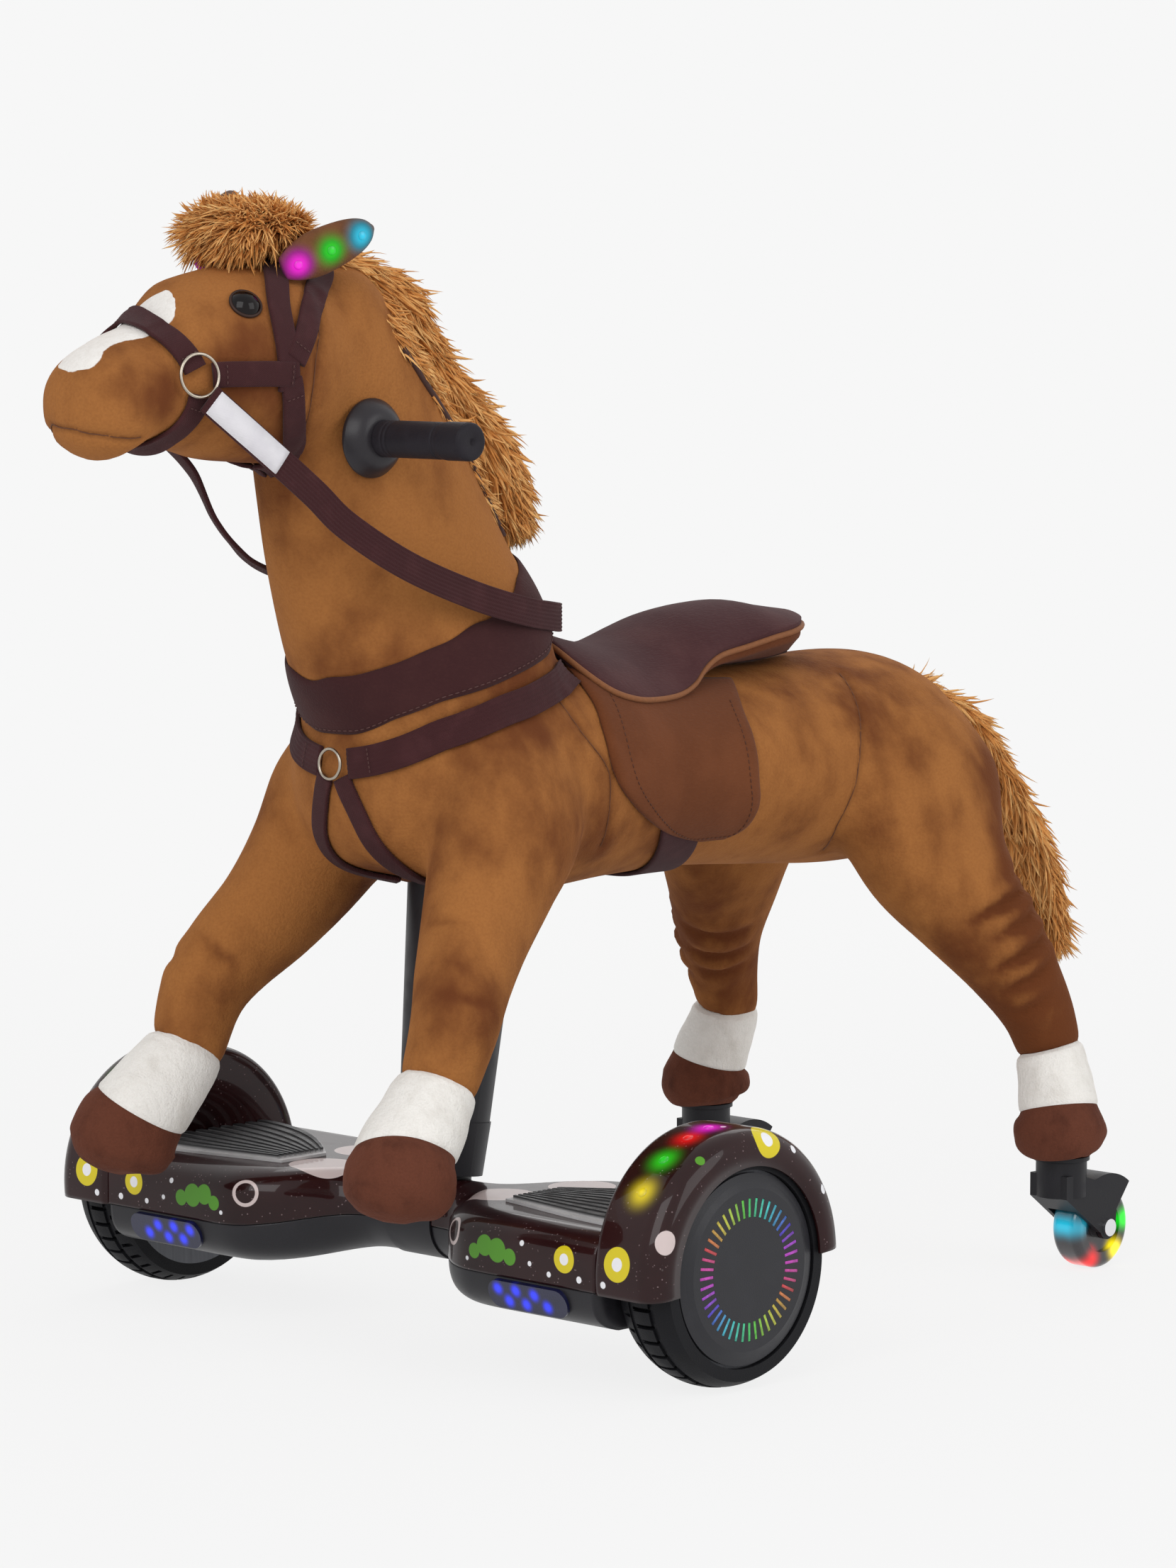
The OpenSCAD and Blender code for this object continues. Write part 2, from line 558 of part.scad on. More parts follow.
// Angle of the horse's back line round the body's loft
back_angle = 270;
function seat_height(q, v) = cantle_h * (q[2] + (q[3] - q[2]) * (1 - v * v));
module saddle_seat() color("#4b3030") on_axle() {
    steps = 18;
    across = 10;
    lift = strap_lift + strap_t + 3 * soft_gap;
    skin([for (i = [0:steps]) let (q = row_at(seat_shares, i / steps))
        concat(
            [for (k = [0:across]) let (v = 2 * k / across - 1)
                point_on(torso_rows, q[0], back_angle + v * q[1], lift + seat_height(q, v))],
            [for (k = [across:-1:0]) let (v = 2 * k / across - 1)
                point_on(torso_rows, q[0], back_angle + v * q[1], lift)])]);
}
// Saddle flap: angle round the body, then its front and back stations
flap_shares = [
    [-50, 0.345, 0.5], [-30, 0.342, 0.484], [-8, 0.352, 0.492], [8, 0.366, 0.492], [18, 0.38, 0.484],
    [26, 0.398, 0.47], [32, 0.424, 0.447]];
module saddle_flaps() color("#73412a") on_axle() both_sides()
    sheet_on(torso_rows, flap_shares, 14, 5, strap_t, strap_lift + soft_gap);
girth_shares = [[0.425, 35], [0.425, 90], [0.425, 145]];
module girth() color("#3d2323") on_axle() strap_on(torso_rows, girth_shares, 14, girth_w, strap_t, strap_lift + 2 * run_fit);

// Handles through the neck
flange_h = 14;
flange_rim = 3;
grip_end = 6;
module at_handle(x) translate([x, -handle_lead, handle_z]) rotate([0, 90, 0]) children();
module handle_flanges() color("#232326") on_axle() both_sides() at_handle(flange_seat_x) difference() {
    dome = flange_h - flange_rim;
    ball = (flange_d * flange_d / 4 + dome * dome) / (2 * dome);
    rotate_extrude() union() {
        square([flange_d / 2, flange_rim]);
        translate([0, flange_rim]) intersection() {
            translate([0, dome - ball]) circle(ball);
            square([flange_d / 2, dome]);
        }
    }
    translate([0, 0, -overrun]) cylinder(d = bar_d + 2 * run_fit, h = flange_h + 2 * overrun);
}
module handle_grips() color("#1c1c1f") on_axle() both_sides() at_handle(flange_seat_x + flange_h) {
    grip_l = handle_span / 2 - flange_seat_x - flange_h;
    difference() {
        rotate_extrude() union() {
            square([grip_d / 2, grip_l - grip_end / 2]);
            square([grip_d / 2 - grip_end / 2, grip_l]);
            translate([grip_d / 2 - grip_end / 2, grip_l - grip_end / 2]) circle(d = grip_end);
        }
        translate([0, 0, -overrun]) cylinder(d = bar_d + 2 * run_fit, h = grip_l - grip_end + overrun);
    }
}
module handle_bar() color("silver") on_axle() translate([0, -handle_lead, handle_z])
    along_x(-handle_span / 2 + grip_end) cylinder(d = bar_d, h = handle_span - 2 * grip_end);

// Skeleton, post and clamp
post_tube_wall = 3;
post_clear = 2.5;
post_tube_low_h = shaft_d / 2 + post_clear;
post_tube_top_h = post_h(spine_z) - spine_d / 2 - post_clear;
module post_bore(low, high) translate([0, 0, low]) cylinder(d = post_tube_d + 2 * run_fit, h = high - low);
module steel_frame() color("gray") on_axle() difference() {
    frame_tubes();
    bar_space(run_fit);
    post_axis() post_bore(post_seam_h, post_tube_top_h + face_gap);
}
module post_tube() color("dimgray") on_axle() post_axis() difference() {
    translate([0, 0, post_tube_low_h]) cylinder(d = post_tube_d, h = post_tube_top_h - post_tube_low_h);
    translate([0, 0, post_tube_low_h - overrun])
        cylinder(d = post_tube_d - 2 * post_tube_wall, h = post_tube_top_h - post_tube_low_h + 2 * overrun);
}
module post_cover() color("#1d1d20") on_axle() post_axis() difference() {
    translate([0, 0, post_seam_h])
        cylinder(d1 = post_d(post_seam_h), d2 = post_d(post_top_h), h = post_top_h - post_seam_h);
    post_bore(post_seam_h - overrun, post_top_h + overrun);
}
clamp_lip = 2;
module centre_clamp() color("#1d1d20") on_axle() difference() {
    foot_h = post_low_h + post_clear;
    union() {
        translate([0, 0, axle_z]) along_x(-collar_w / 2) cylinder(d = waist_d + clamp_lip, h = collar_w);
        post_axis() cylinder(d = collar_w, h = foot_h + overrun);
        post_axis() translate([0, 0, foot_h])
            cylinder(d1 = post_d(foot_h), d2 = post_d(post_seam_h) + clamp_lip, h = post_seam_h - foot_h);
    }
    translate([0, 0, axle_z]) along_x(-collar_w) cylinder(d = shaft_d + 2 * run_fit, h = 2 * collar_w);
    post_axis() post_bore(post_tube_low_h - face_gap, post_seam_h + overrun);
}
sleeve_l = 90;
shaft_wall = 5;
module pivot_shaft() color("silver") on_axle() translate([0, 0, axle_z]) difference() {
    along_x(-collar_w / 2 - sleeve_l) cylinder(d = shaft_d, h = collar_w + 2 * sleeve_l);
    along_x(-collar_w / 2 - sleeve_l - overrun)
        cylinder(d = shaft_d - 2 * shaft_wall, h = collar_w + 2 * sleeve_l + 2 * overrun);
}

// Board halves
// Gaps between a tyre and the inner and outer walls of its guard
wheel_gap = 4;
wheel_play = 1.5;
guard_in_x = track_w / 2 - tyre_w / 2 - wheel_gap - shell_wall;
guard_out_x = track_w / 2 + tyre_w / 2 + shell_wall + wheel_play;
deck_in_x = collar_w / 2 + face_gap;
deck_out_x = guard_in_x + shell_wall / 2;
belly_out_x = guard_in_x - face_gap;
// Share of the way along a half, then share of the swell from waist to full depth
deck_shares = [[0, 0], [0.1, 0.03], [0.18, 0.21], [0.29, 0.71], [0.4, 0.95], [0.54, 1], [0.77, 1], [1, 1]];
deck_power = 4.5;
belly_power = 4.2;
flat_share = 0.08;
deck_steps = 13;
arc_steps = 14;
function bow(v, n) = sign(v) * pow(abs(v), 2 / n);
function deck_point(q, w, wall, end_x = deck_out_x) =
    let (top = sin(w) >= 0,
         full = top ? deck_rise : belly_drop,
         power = 2 + q[1] * ((top ? deck_power : belly_power) - 2),
         d = waist_d / 2 + q[1] * (board_d - waist_d) / 2 - wall,
         rise = waist_d / 2 + q[1] * (full - waist_d / 2) - wall,
         z = bow(sin(w), power) * (1 + q[1] * flat_share))
    [deck_in_x + q[0] * (end_x - deck_in_x), d * bow(cos(w), power), axle_z + rise * max(min(z, 1), -1)];
function deck_arc(q, from, to, wall, end_x = deck_out_x) =
    [for (i = [0:arc_steps]) deck_point(q, from + (to - from) * i / arc_steps, wall, end_x)];
module deck_wall(from, to, end_x = deck_out_x)
    skin([for (i = [0:deck_steps]) let (q = row_at(deck_shares, i / deck_steps))
        concat(deck_arc(q, from, to, 0, end_x), deck_arc(q, to, from, shell_wall, end_x))]);
// Angle below the axle line where the upper shell meets the lower one
seam_angle = 2.8;
guard_corner = 16;
guard_open_r = 70;
guard_dip = 3.5;
guard_tilt = 4.5;
module guard_face(r, low, high, corner) {
    translate([0, low]) square([r - corner, high - low]);
    translate([0, low]) square([r, high - low - corner]);
    translate([r - corner, high - corner]) circle(corner);
}
module guard() translate([0, 0, axle_z]) difference() {
    rotate([0, 90, 0]) rotate_extrude() difference() {
        guard_face(guard_r, guard_in_x, guard_out_x, guard_corner);
        guard_face(guard_r - shell_wall, guard_in_x + shell_wall, guard_out_x - shell_wall, guard_corner - shell_wall);
        translate([0, guard_out_x - 2 * shell_wall]) square([guard_open_r, 3 * shell_wall]);
        translate([0, guard_in_x - overrun]) square([axle_d, shell_wall + 2 * overrun]);
    }
    rotate([guard_tilt, 0, 0]) translate([0, -2 * guard_r, -2 * guard_r - guard_dip])
        cube([2 * guard_out_x, 4 * guard_r, 2 * guard_r]);
}
guard_light_angles = [8, 24, 41, 58];
guard_light_d = 9;
guard_light_inset = 13;
module guard_light_row(d, low, high) for (a = guard_light_angles)
    translate([guard_in_x + guard_light_inset, 0, axle_z]) rotate([a, 0, 0])
        translate([0, 0, low]) cylinder(d = d, h = high - low);
module upper_shell(s) color("#3a2228") on_axle() on_side(s) difference() {
    union() {
        deck_wall(-seam_angle, 180 + seam_angle);
        guard();
    }
    guard_light_row(guard_light_d + 2 * run_fit, guard_r / 2, 2 * guard_r);
}
module guard_lights(s) color("gold") on_axle() on_side(s)
    guard_light_row(guard_light_d, guard_r - 2 * shell_wall, guard_r + light_h / 2);
lamp_x = track_w / 3;
lamp_drop_share = 0.56;
lamp_tilt = 16;
lamp_t = 6;
lamp_y = deck_point([1, 1], 180 + asin(pow(lamp_drop_share, belly_power / 2)), 0)[1];
module at_lamp() translate([lamp_x, lamp_y, axle_z - lamp_drop_share * belly_drop])
    rotate([90 + lamp_tilt, 0, 0]) children();
module slot(l, h) {
    square([l - h, h], center = true);
    translate([-(l - h) / 2, 0]) circle(d = h);
    translate([(l - h) / 2, 0]) circle(d = h);
}
module lower_shell(s) color("#222226") on_axle() on_side(s) difference() {
    union() {
        translate([0, 0, -soft_gap]) deck_wall(180 + seam_angle, 360 - seam_angle, belly_out_x);
        translate([0, 0, -soft_gap]) rotate([90, 0, 90]) translate([0, 0, belly_out_x - 2 * shell_wall])
            linear_extrude(shell_wall)
                polygon([for (q = deck_arc([1, 1], 180 + seam_angle, 360 - seam_angle, shell_wall / 2)) [q[1], q[2]]]);
    }
    at_lamp() linear_extrude(2 * lamp_t, center = true) slot(lamp_l + 2 * run_fit, lamp_h + 2 * run_fit);
    translate([0, 0, axle_z]) along_x(0) cylinder(d = axle_block_h + 2 * face_gap, h = track_w / 2);
}
module front_lamp(s) color("navy") on_axle() on_side(s) at_lamp()
    translate([0, 0, -lamp_t + light_h]) linear_extrude(lamp_t) slot(lamp_l, lamp_h);
pad_l = 130;
pad_w = 128;
pad_base = 2;
pad_in_share = 0.34;
pad_shift = 22;
ridge_w = 6;
ridge_reach_share = 0.86;
pad_steps = 8;
// Edge line of the pad: v runs from -1 at the front to 1 at the back, u from the inner to the outer end
function pad_point(u, v) =
    [guard_in_x - face_gap - pad_l * (1 - u),
     v * pad_w / 2 * (pad_in_share + (1 - pad_in_share) * sin(90 * u)) - pad_shift * (1 - u) * (1 - u)];
function pad_line(v, from) = [for (i = [0:pad_steps]) pad_point(from + (1 - from) * i / pad_steps, v)];
function pad_back(v, from) = [for (i = [pad_steps:-1:0]) pad_point(from + (1 - from) * i / pad_steps, v)];
module foot_pad(s) color("#2b2b2e") on_axle() on_side(s) translate([0, 0, axle_z + deck_rise + run_fit]) {
    share_w = ridge_w / pad_w;
    linear_extrude(pad_base) polygon(concat(pad_line(-1, 0), pad_back(1, 0)));
    for (i = [0:ridge_count - 1]) let (v = ridge_reach_share * (2 * i / (ridge_count - 1) - 1))
        linear_extrude(pad_h) polygon(concat(pad_line(v - share_w, share_w), pad_back(v + share_w, share_w)));
}
plate_t = 6;
plate_drop = 12;
plate_w = 132;
axle_block_l = 34;
axle_block_h = 34;
boss_d = 12;
boss_spread = 80;
sleeve_d = shaft_d + 2 * sleeve_wall;
plate_in_share = 0.75;
plate_in_x = deck_in_x + plate_in_share * sleeve_l;
axle_in_x = belly_out_x - 2 * shell_wall - face_gap - axle_block_l;
module chassis(s) color("silver") on_axle() on_side(s) translate([0, 0, axle_z]) difference() {
    union() {
        along_x(deck_in_x) cylinder(d = sleeve_d, h = sleeve_l);
        translate([plate_in_x, -plate_w / 2, -plate_drop]) cube([axle_in_x + axle_block_l - plate_in_x, plate_w, plate_t]);
        translate([axle_in_x, -axle_block_h, -axle_block_h / 2]) cube([axle_block_l, 2 * axle_block_h, axle_block_h]);
        for (x = [pack_in_x + boss_d, axle_in_x], y = [-boss_spread / 2, boss_spread / 2])
            translate([x, y, -belly_drop + shell_wall])
                cylinder(d = boss_d, h = belly_drop - plate_drop - shell_wall);
    }
    along_x(0) cylinder(d = shaft_d + 2 * run_fit, h = deck_in_x + sleeve_l + overrun);
    along_x(axle_in_x - overrun) cylinder(d = axle_d + 2 * run_fit, h = track_w);
}
axle_out_x = track_w / 2 + tyre_w / 4;
module motor_axle(s) color("lightgray") on_axle() on_side(s) translate([0, 0, axle_z])
    along_x(axle_in_x) cylinder(d = axle_d, h = axle_out_x - axle_in_x);
pack_h = 25;
pack_w = 116;
pack_in_x = deck_in_x + sleeve_l + boss_d / 2;
pack_l = axle_in_x - pack_in_x - boss_d / 2;
plate_top_z = axle_z - plate_drop + plate_t;
cell_count = 5;
module battery_pack() color("royalblue") on_axle() translate([pack_in_x, -pack_w / 2, plate_top_z]) {
    cube([pack_l, pack_w, pack_h / 2]);
    for (i = [0:cell_count - 1]) translate([0, (i + 1 / 2) * pack_w / cell_count, pack_h / 2])
        rotate([0, 90, 0]) cylinder(d = pack_w / cell_count, h = pack_l);
}
board_t = 2;
chip_h = 14;
can_d = 13;
module control_board() color("seagreen") on_axle() on_side(-1) translate([pack_in_x, -pack_w / 2, plate_top_z]) {
    cube([pack_l, pack_w, board_t]);
    translate([pack_l / 4, pack_w / 8, 0]) cube([pack_l / 2, pack_w / 4, chip_h]);
    for (i = [0:2]) translate([pack_l / 2, pack_w / 2 + (i + 1 / 2) * can_d * 1.2, 0]) cylinder(d = can_d, h = pack_h);
}

// Drive wheels
at_wheel_x = track_w / 2;
module at_wheel(s) on_axle() on_side(s) translate([at_wheel_x, 0, axle_z]) rotate([0, 90, 0]) children();
crown_r = 44;
groove_w = 4;
block_gap = 3.2;
module tyre(s) color("#19191b") at_wheel(s) difference() {
    rotate_extrude() difference() {
        intersection() {
            translate([rim_d / 2, -tyre_w / 2]) square([(tyre_d - rim_d) / 2, tyre_w]);
            translate([tyre_d / 2 - crown_r, 0]) circle(crown_r);
        }
        for (a = [-1, 1]) translate([tyre_d / 2 - tread_depth, a * tyre_w / 5 - groove_w / 2])
            square([2 * tread_depth, groove_w]);
    }
    for (i = [0:tread_count - 1], a = [0, 1]) rotate([0, 0, 360 * (i + a / 2) / tread_count])
        translate([tyre_d / 2 - 2 * tread_depth, -block_gap / 2, a * tyre_w / 3 - tyre_w / 2 - overrun])
            cube([tyre_d / 2, block_gap, tyre_w / 3 - groove_w + overrun + a * groove_w]);
}
cover_t = 7;
cover_seat = tyre_w / 2 - cover_t / 2 - overrun;
hub_boss_d = 44;
module hub_motor(s) color("#5a5a5e") at_wheel(s) difference() {
    union() {
        translate([0, 0, -tyre_w / 2]) cylinder(d = rim_d, h = tyre_w / 2 + cover_seat);
        translate([0, 0, -tyre_w / 2 - wheel_gap / 2]) cylinder(d = hub_boss_d, h = wheel_gap);
    }
    translate([0, 0, -tyre_w]) cylinder(d = axle_d + 2 * run_fit, h = tyre_w + tyre_w / 4 + face_gap);
}
window_l = 13;
window_w = 2.2;
window_depth = 1;
cover_edge = 2;
module hub_cover(s) color("#2a2b2f") at_wheel(s) translate([0, 0, cover_seat]) difference() {
    rotate_extrude() polygon([
        [0, 0], [rim_d / 2 - cover_edge, 0], [rim_d / 2 - cover_edge, cover_t / 2], [rim_d / 2 - cover_t, cover_t - cover_edge],
        [light_ring_d / 2 + window_l, cover_t], [light_ring_d / 2 - window_l, cover_t], [0, cover_t]]);
    for (i = [0:light_count - 1]) rotate([0, 0, 360 * i / light_count])
        translate([(light_ring_d - window_l) / 2, -window_w / 2, cover_t - window_depth])
            cube([window_l, window_w, cover_t]);
}

// Casters
caster_axle_z = caster_d / 2;
stem_flange_d = 42;
stem_flange_t = 3;
housing_low_z = caster_d - 5;
housing_top_z = hoof_z - soft_gap - stem_flange_t - face_gap;
hood_gap = 5;
hood_t = 4;
hood_angles = [52, 128];
boss_r = 9;
module at_caster(s) on_axle() on_side(s) translate([caster_spot[0], caster_spot[1], 0]) children();
module caster_stems() color("silver") for (s = [1, -1]) at_caster(s) {
    translate([0, 0, hoof_z - soft_gap - stem_flange_t]) cylinder(d = stem_flange_d, h = stem_flange_t);
    translate([0, 0, housing_low_z + hood_t]) cylinder(d = stem_d, h = hoof_z - housing_low_z - hood_t - overrun);
}
hood_r = caster_d / 2 + hood_gap;
module hood_sector(r) intersection() {
    circle(r);
    polygon([[0, 0], for (a = hood_angles) 2 * r * [cos(a), sin(a)]]);
}
// Side outline of a fork cheek, seen along X from the wheel's axle
module cheek() {
    circle(boss_r);
    hood_sector(hood_r + hood_t);
    polygon([
        [-caster_trail - housing_d / 2 + hood_t, housing_low_z - caster_axle_z],
        [-boss_r, -boss_r / 3], [boss_r, 0],
        [hood_r * cos(hood_angles[0]) / 2, hood_r * sin(hood_angles[0])],
        [-caster_trail, housing_top_z - caster_axle_z - housing_d / 4],
        [-caster_trail - housing_d / 2 + hood_t, housing_top_z - caster_axle_z - housing_d / 4]]);
}
module at_caster_axle() translate([0, caster_trail, caster_axle_z]) rotate([90, 0, 90]) children();
fork_gap = caster_w + 2 * overrun;
module caster_fork(s) color("#232327") at_caster(s) difference() {
    union() {
        translate([0, 0, housing_low_z]) cylinder(d = housing_d, h = housing_top_z - housing_low_z);
        at_caster_axle() linear_extrude(fork_gap + 2 * cheek_t, center = true) cheek();
    }
    at_caster_axle() cylinder(r = hood_r, h = fork_gap, center = true);
    translate([0, 0, housing_low_z + hood_t / 2]) cylinder(d = stem_d + 2 * run_fit, h = housing_top_z);
    at_caster_axle() cylinder(d = bolt_d + 2 * run_fit, h = 4 * caster_w, center = true);
}
bolt_head_d = 13;
bolt_head_t = 2.5;
module caster_bolt(s) color("silver") at_caster(s) at_caster_axle() {
    cylinder(d = bolt_d, h = fork_gap + 2 * cheek_t + 2 * run_fit, center = true);
    for (a = [0, 1]) mirror([0, 0, a]) translate([0, 0, fork_gap / 2 + cheek_t + run_fit])
        cylinder(d = bolt_head_d, h = bolt_head_t);
}
tread_round = 6;
hub_lip = 3;
module caster_wheel(s) color([0.85, 0.9, 0.95, 0.5]) at_caster(s) at_caster_axle() difference() {
    rotate_extrude() union() {
        translate([0, -caster_w / 2]) square([caster_d / 2 - tread_round, caster_w]);
        translate([0, -caster_w / 2 + tread_round]) square([caster_d / 2, caster_w - 2 * tread_round]);
        for (a = [-1, 1]) translate([caster_d / 2 - tread_round, a * (caster_w / 2 - tread_round)]) circle(tread_round);
    }
    for (a = [0, 1]) mirror([0, 0, a]) translate([0, 0, caster_w / 2 - hub_lip]) difference() {
        cylinder(d = caster_d - 4 * tread_round, h = hub_lip + overrun);
        translate([0, 0, -overrun]) cylinder(r = boss_r, h = hub_lip + 3 * overrun);
    }
    cylinder(d = bolt_d + 2 * run_fit, h = 2 * caster_w, center = true);
}

module upper_shell_left() upper_shell(1);
module upper_shell_right() upper_shell(-1);
module lower_shell_left() lower_shell(1);
module lower_shell_right() lower_shell(-1);
module foot_pad_left() foot_pad(1);
module foot_pad_right() foot_pad(-1);
module front_lamp_left() front_lamp(1);
module front_lamp_right() front_lamp(-1);
module guard_lights_left() guard_lights(1);
module guard_lights_right() guard_lights(-1);
module chassis_left() chassis(1);
module chassis_right() chassis(-1);
module motor_axle_left() motor_axle(1);
module motor_axle_right() motor_axle(-1);
module tyre_left() tyre(1);
module tyre_right() tyre(-1);
module hub_motor_left() hub_motor(1);
module hub_motor_right() hub_motor(-1);
module hub_cover_left() hub_cover(1);
module hub_cover_right() hub_cover(-1);
module caster_fork_left() caster_fork(1);
module caster_fork_right() caster_fork(-1);
module caster_wheel_left() caster_wheel(1);
module caster_wheel_right() caster_wheel(-1);
module caster_bolt_left() caster_bolt(1);
module caster_bolt_right() caster_bolt(-1);

torso_plush();
neck_plush();
head_plush();
front_leg_left();
front_leg_right();
rear_leg_left();
rear_leg_right();
socks();
hooves();
ears();
ear_lights();
eyes();
forelock();
mane();
tail();
bridle_straps();
tack_rings();
reins();
breast_collar();
breast_straps();
saddle_seat();
saddle_flaps();
girth();
handle_grips();
handle_flanges();
handle_bar();
steel_frame();
post_tube();
post_cover();
centre_clamp();
pivot_shaft();
caster_stems();
upper_shell_left();
upper_shell_right();
lower_shell_left();
lower_shell_right();
foot_pad_left();
foot_pad_right();
front_lamp_left();
front_lamp_right();
guard_lights_left();
guard_lights_right();
chassis_left();
chassis_right();
motor_axle_left();
motor_axle_right();
battery_pack();
control_board();
tyre_left();
tyre_right();
hub_motor_left();
hub_motor_right();
hub_cover_left();
hub_cover_right();
caster_fork_left();
caster_fork_right();
caster_wheel_left();
caster_wheel_right();
caster_bolt_left();
caster_bolt_right();
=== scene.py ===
"""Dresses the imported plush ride-on horse and its balance board in looks, with every piece on its CAD body.

Lengths in the tables are millimetres from the drive axle's middle line, as in the part's source.
Meshes are made in metres in the row frame by `to_frame`.
"""

import json
import logging
from dataclasses import dataclass, field
from enum import Enum
from typing import Mapping, Optional, Sequence, Union

import bpy
import numpy as np
from mathutils import Matrix

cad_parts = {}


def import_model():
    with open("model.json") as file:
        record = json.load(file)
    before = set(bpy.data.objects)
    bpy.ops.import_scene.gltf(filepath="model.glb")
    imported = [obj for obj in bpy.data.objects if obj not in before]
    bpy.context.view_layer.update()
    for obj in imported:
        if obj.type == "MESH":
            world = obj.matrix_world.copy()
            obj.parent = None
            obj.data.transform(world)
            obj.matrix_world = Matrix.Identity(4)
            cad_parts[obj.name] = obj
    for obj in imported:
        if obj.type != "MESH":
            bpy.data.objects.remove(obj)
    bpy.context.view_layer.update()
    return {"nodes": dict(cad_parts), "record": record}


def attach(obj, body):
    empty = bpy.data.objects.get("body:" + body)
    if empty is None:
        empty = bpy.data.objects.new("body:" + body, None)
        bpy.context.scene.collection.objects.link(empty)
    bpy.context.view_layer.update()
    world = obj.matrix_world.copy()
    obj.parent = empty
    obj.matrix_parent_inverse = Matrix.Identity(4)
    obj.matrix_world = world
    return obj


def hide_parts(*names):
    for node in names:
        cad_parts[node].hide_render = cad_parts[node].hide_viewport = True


LOG = logging.getLogger("ride_on_horse")
Array = np.ndarray
Piece = bpy.types.Object
Colour = tuple[float, float, float, float]
Link = Union["Wire", float, tuple, Sequence[float]]

# Shared sizes in millimetres: axle, wheel guard, front lamp and its lean, caster roller.
MM = 0.001
AXLE_LEAD = 178.0
AXLE_Z = 82.0
GUARD_R = 95.0
GUARD_LAMP_X = 271.0
FRONT_LAMP = (182.0, -92.9, 59.7)
FRONT_LEAN = (-0.276, 0.961)
ROLLER = (180.0, 508.0, 31.5)
PHOTO_W = 1659
PHOTO_H = 2212
UP = np.array([0.0, 0.0, 1.0])
LEFTWARD = np.array([1.0, 0.0, 0.0])
MIRROR = np.array([-1, 1, 1])


class Side(Enum):
    """A side of the object: the rider's left is +X."""

    LEFT = 1
    RIGHT = -1

    @property
    def word(self) -> str:
        """Ending of the node names on this side."""
        return self.name.lower()


def srgb(red: float, green: float, blue: float) -> Colour:
    """Linear colour of an sRGB one given from 0 to 255."""
    share = np.array([red, green, blue]) / 255
    line = np.where(share <= 0.04045, share / 12.92, ((share + 0.055) / 1.055) ** 2.4)
    return (float(line[0]), float(line[1]), float(line[2]), 1.0)


def dimmed(colour: Colour, share: float) -> Colour:
    """A colour at a share of its strength."""
    return (share * colour[0], share * colour[1], share * colour[2], 1.0)


def to_frame(points: Array) -> Array:
    """Row-frame metres of points given in millimetres from the drive axle."""
    return (np.asarray(points, float) - [0.0, AXLE_LEAD, 0.0]) * MM


def from_frame(points: Array) -> Array:
    """Millimetres from the drive axle of points given in row-frame metres."""
    return np.asarray(points, float) / MM + [0.0, AXLE_LEAD, 0.0]


def unit(vectors: Array) -> Array:
    """The vectors at length one."""
    return vectors / np.maximum(np.linalg.norm(vectors, axis=-1, keepdims=True), 1e-12)


def row_at(rows: Array, t: Array) -> Array:
    """Smooth curve through a table's rows.

    Uniform Catmull-Rom: the cubic through rows i and i+1 whose slopes come from their neighbours.

    Args:
        rows: one row of values per station.
        t: shares of the table's length.

    Returns:
        One row for each share.
    """
    rows = np.asarray(rows, float)
    last = len(rows) - 1
    t = np.clip(np.asarray(t, float), 0, 1)
    i = np.minimum(np.floor(t * last).astype(int), last - 1)
    u = (t * last - i)[..., None]
    p0 = rows[np.maximum(i - 1, 0)]
    p1 = rows[i]
    p2 = rows[i + 1]
    p3 = rows[np.minimum(i + 2, last)]
    return p1 + u / 2 * (p2 - p0 + u * (2 * p0 - 5 * p1 + 4 * p2 - p3 + u * (3 * (p1 - p2) + p3 - p0)))


def dense(table: Sequence[Sequence[float]], count: int) -> Array:
    """So many rows of the curve through a table."""
    return row_at(np.array(table, float), np.linspace(0, 1, count))


def along(points: Array, closed: bool = False) -> Array:
    """Unit tangents of a path, from each point's two neighbours."""
    if closed:
        return unit(np.roll(points, -1, 0) - np.roll(points, 1, 0))
    return unit(np.gradient(points, axis=0))


def run_of(path: Array) -> Array:
    """Length of a path from its start to each of its points."""
    return np.concatenate([[0], np.cumsum(np.linalg.norm(np.diff(path, axis=0), axis=1))])


def even(points: Array, count: int) -> Array:
    """A path resampled at equal steps of its length."""
    run = run_of(points)
    want = np.linspace(0, run[-1], count)
    return np.stack([np.interp(want, run, points[:, k]) for k in range(points.shape[1])], 1)


def degrees(count: int) -> Array:
    """One row of even angles round a section."""
    return np.arange(count)[None, :] * 360 / count


def grid_faces(n: int, m: int, wrap_n: bool = False, wrap_m: bool = False) -> Array:
    """Quads between the points of a grid.

    Args:
        n: rows.
        m: points in a row.
        wrap_n: whether the last row meets the first.
        wrap_m: whether each row's end meets its start.

    Returns:
        Four point numbers per face.
    """
    i = np.arange(n if wrap_n else n - 1)[:, None]
    j = np.arange(m if wrap_m else m - 1)[None, :]
    a = i * m + j
    b = i * m + (j + 1) % m
    c = (i + 1) % n * m + (j + 1) % m
    d = (i + 1) % n * m + j
    return np.stack(np.broadcast_arrays(a, b, c, d), -1).reshape(-1, 4)


def volume(points: Array, faces: Sequence[Array]) -> float:
    """Signed volume: the sum over fan triangles of a corner dotted with the cross of the other two.

    Args:
        points: places.
        faces: blocks of faces.

    Returns:
        Cubic millimetres, below 0 if the faces point inwards.
    """
    total = 0.0
    for block in faces:
        a = points[block[:, 0]]
        for k in range(1, block.shape[1] - 1):
            total += float(np.sum(a * np.cross(points[block[:, k]], points[block[:, k + 1]])))
    return total / 6


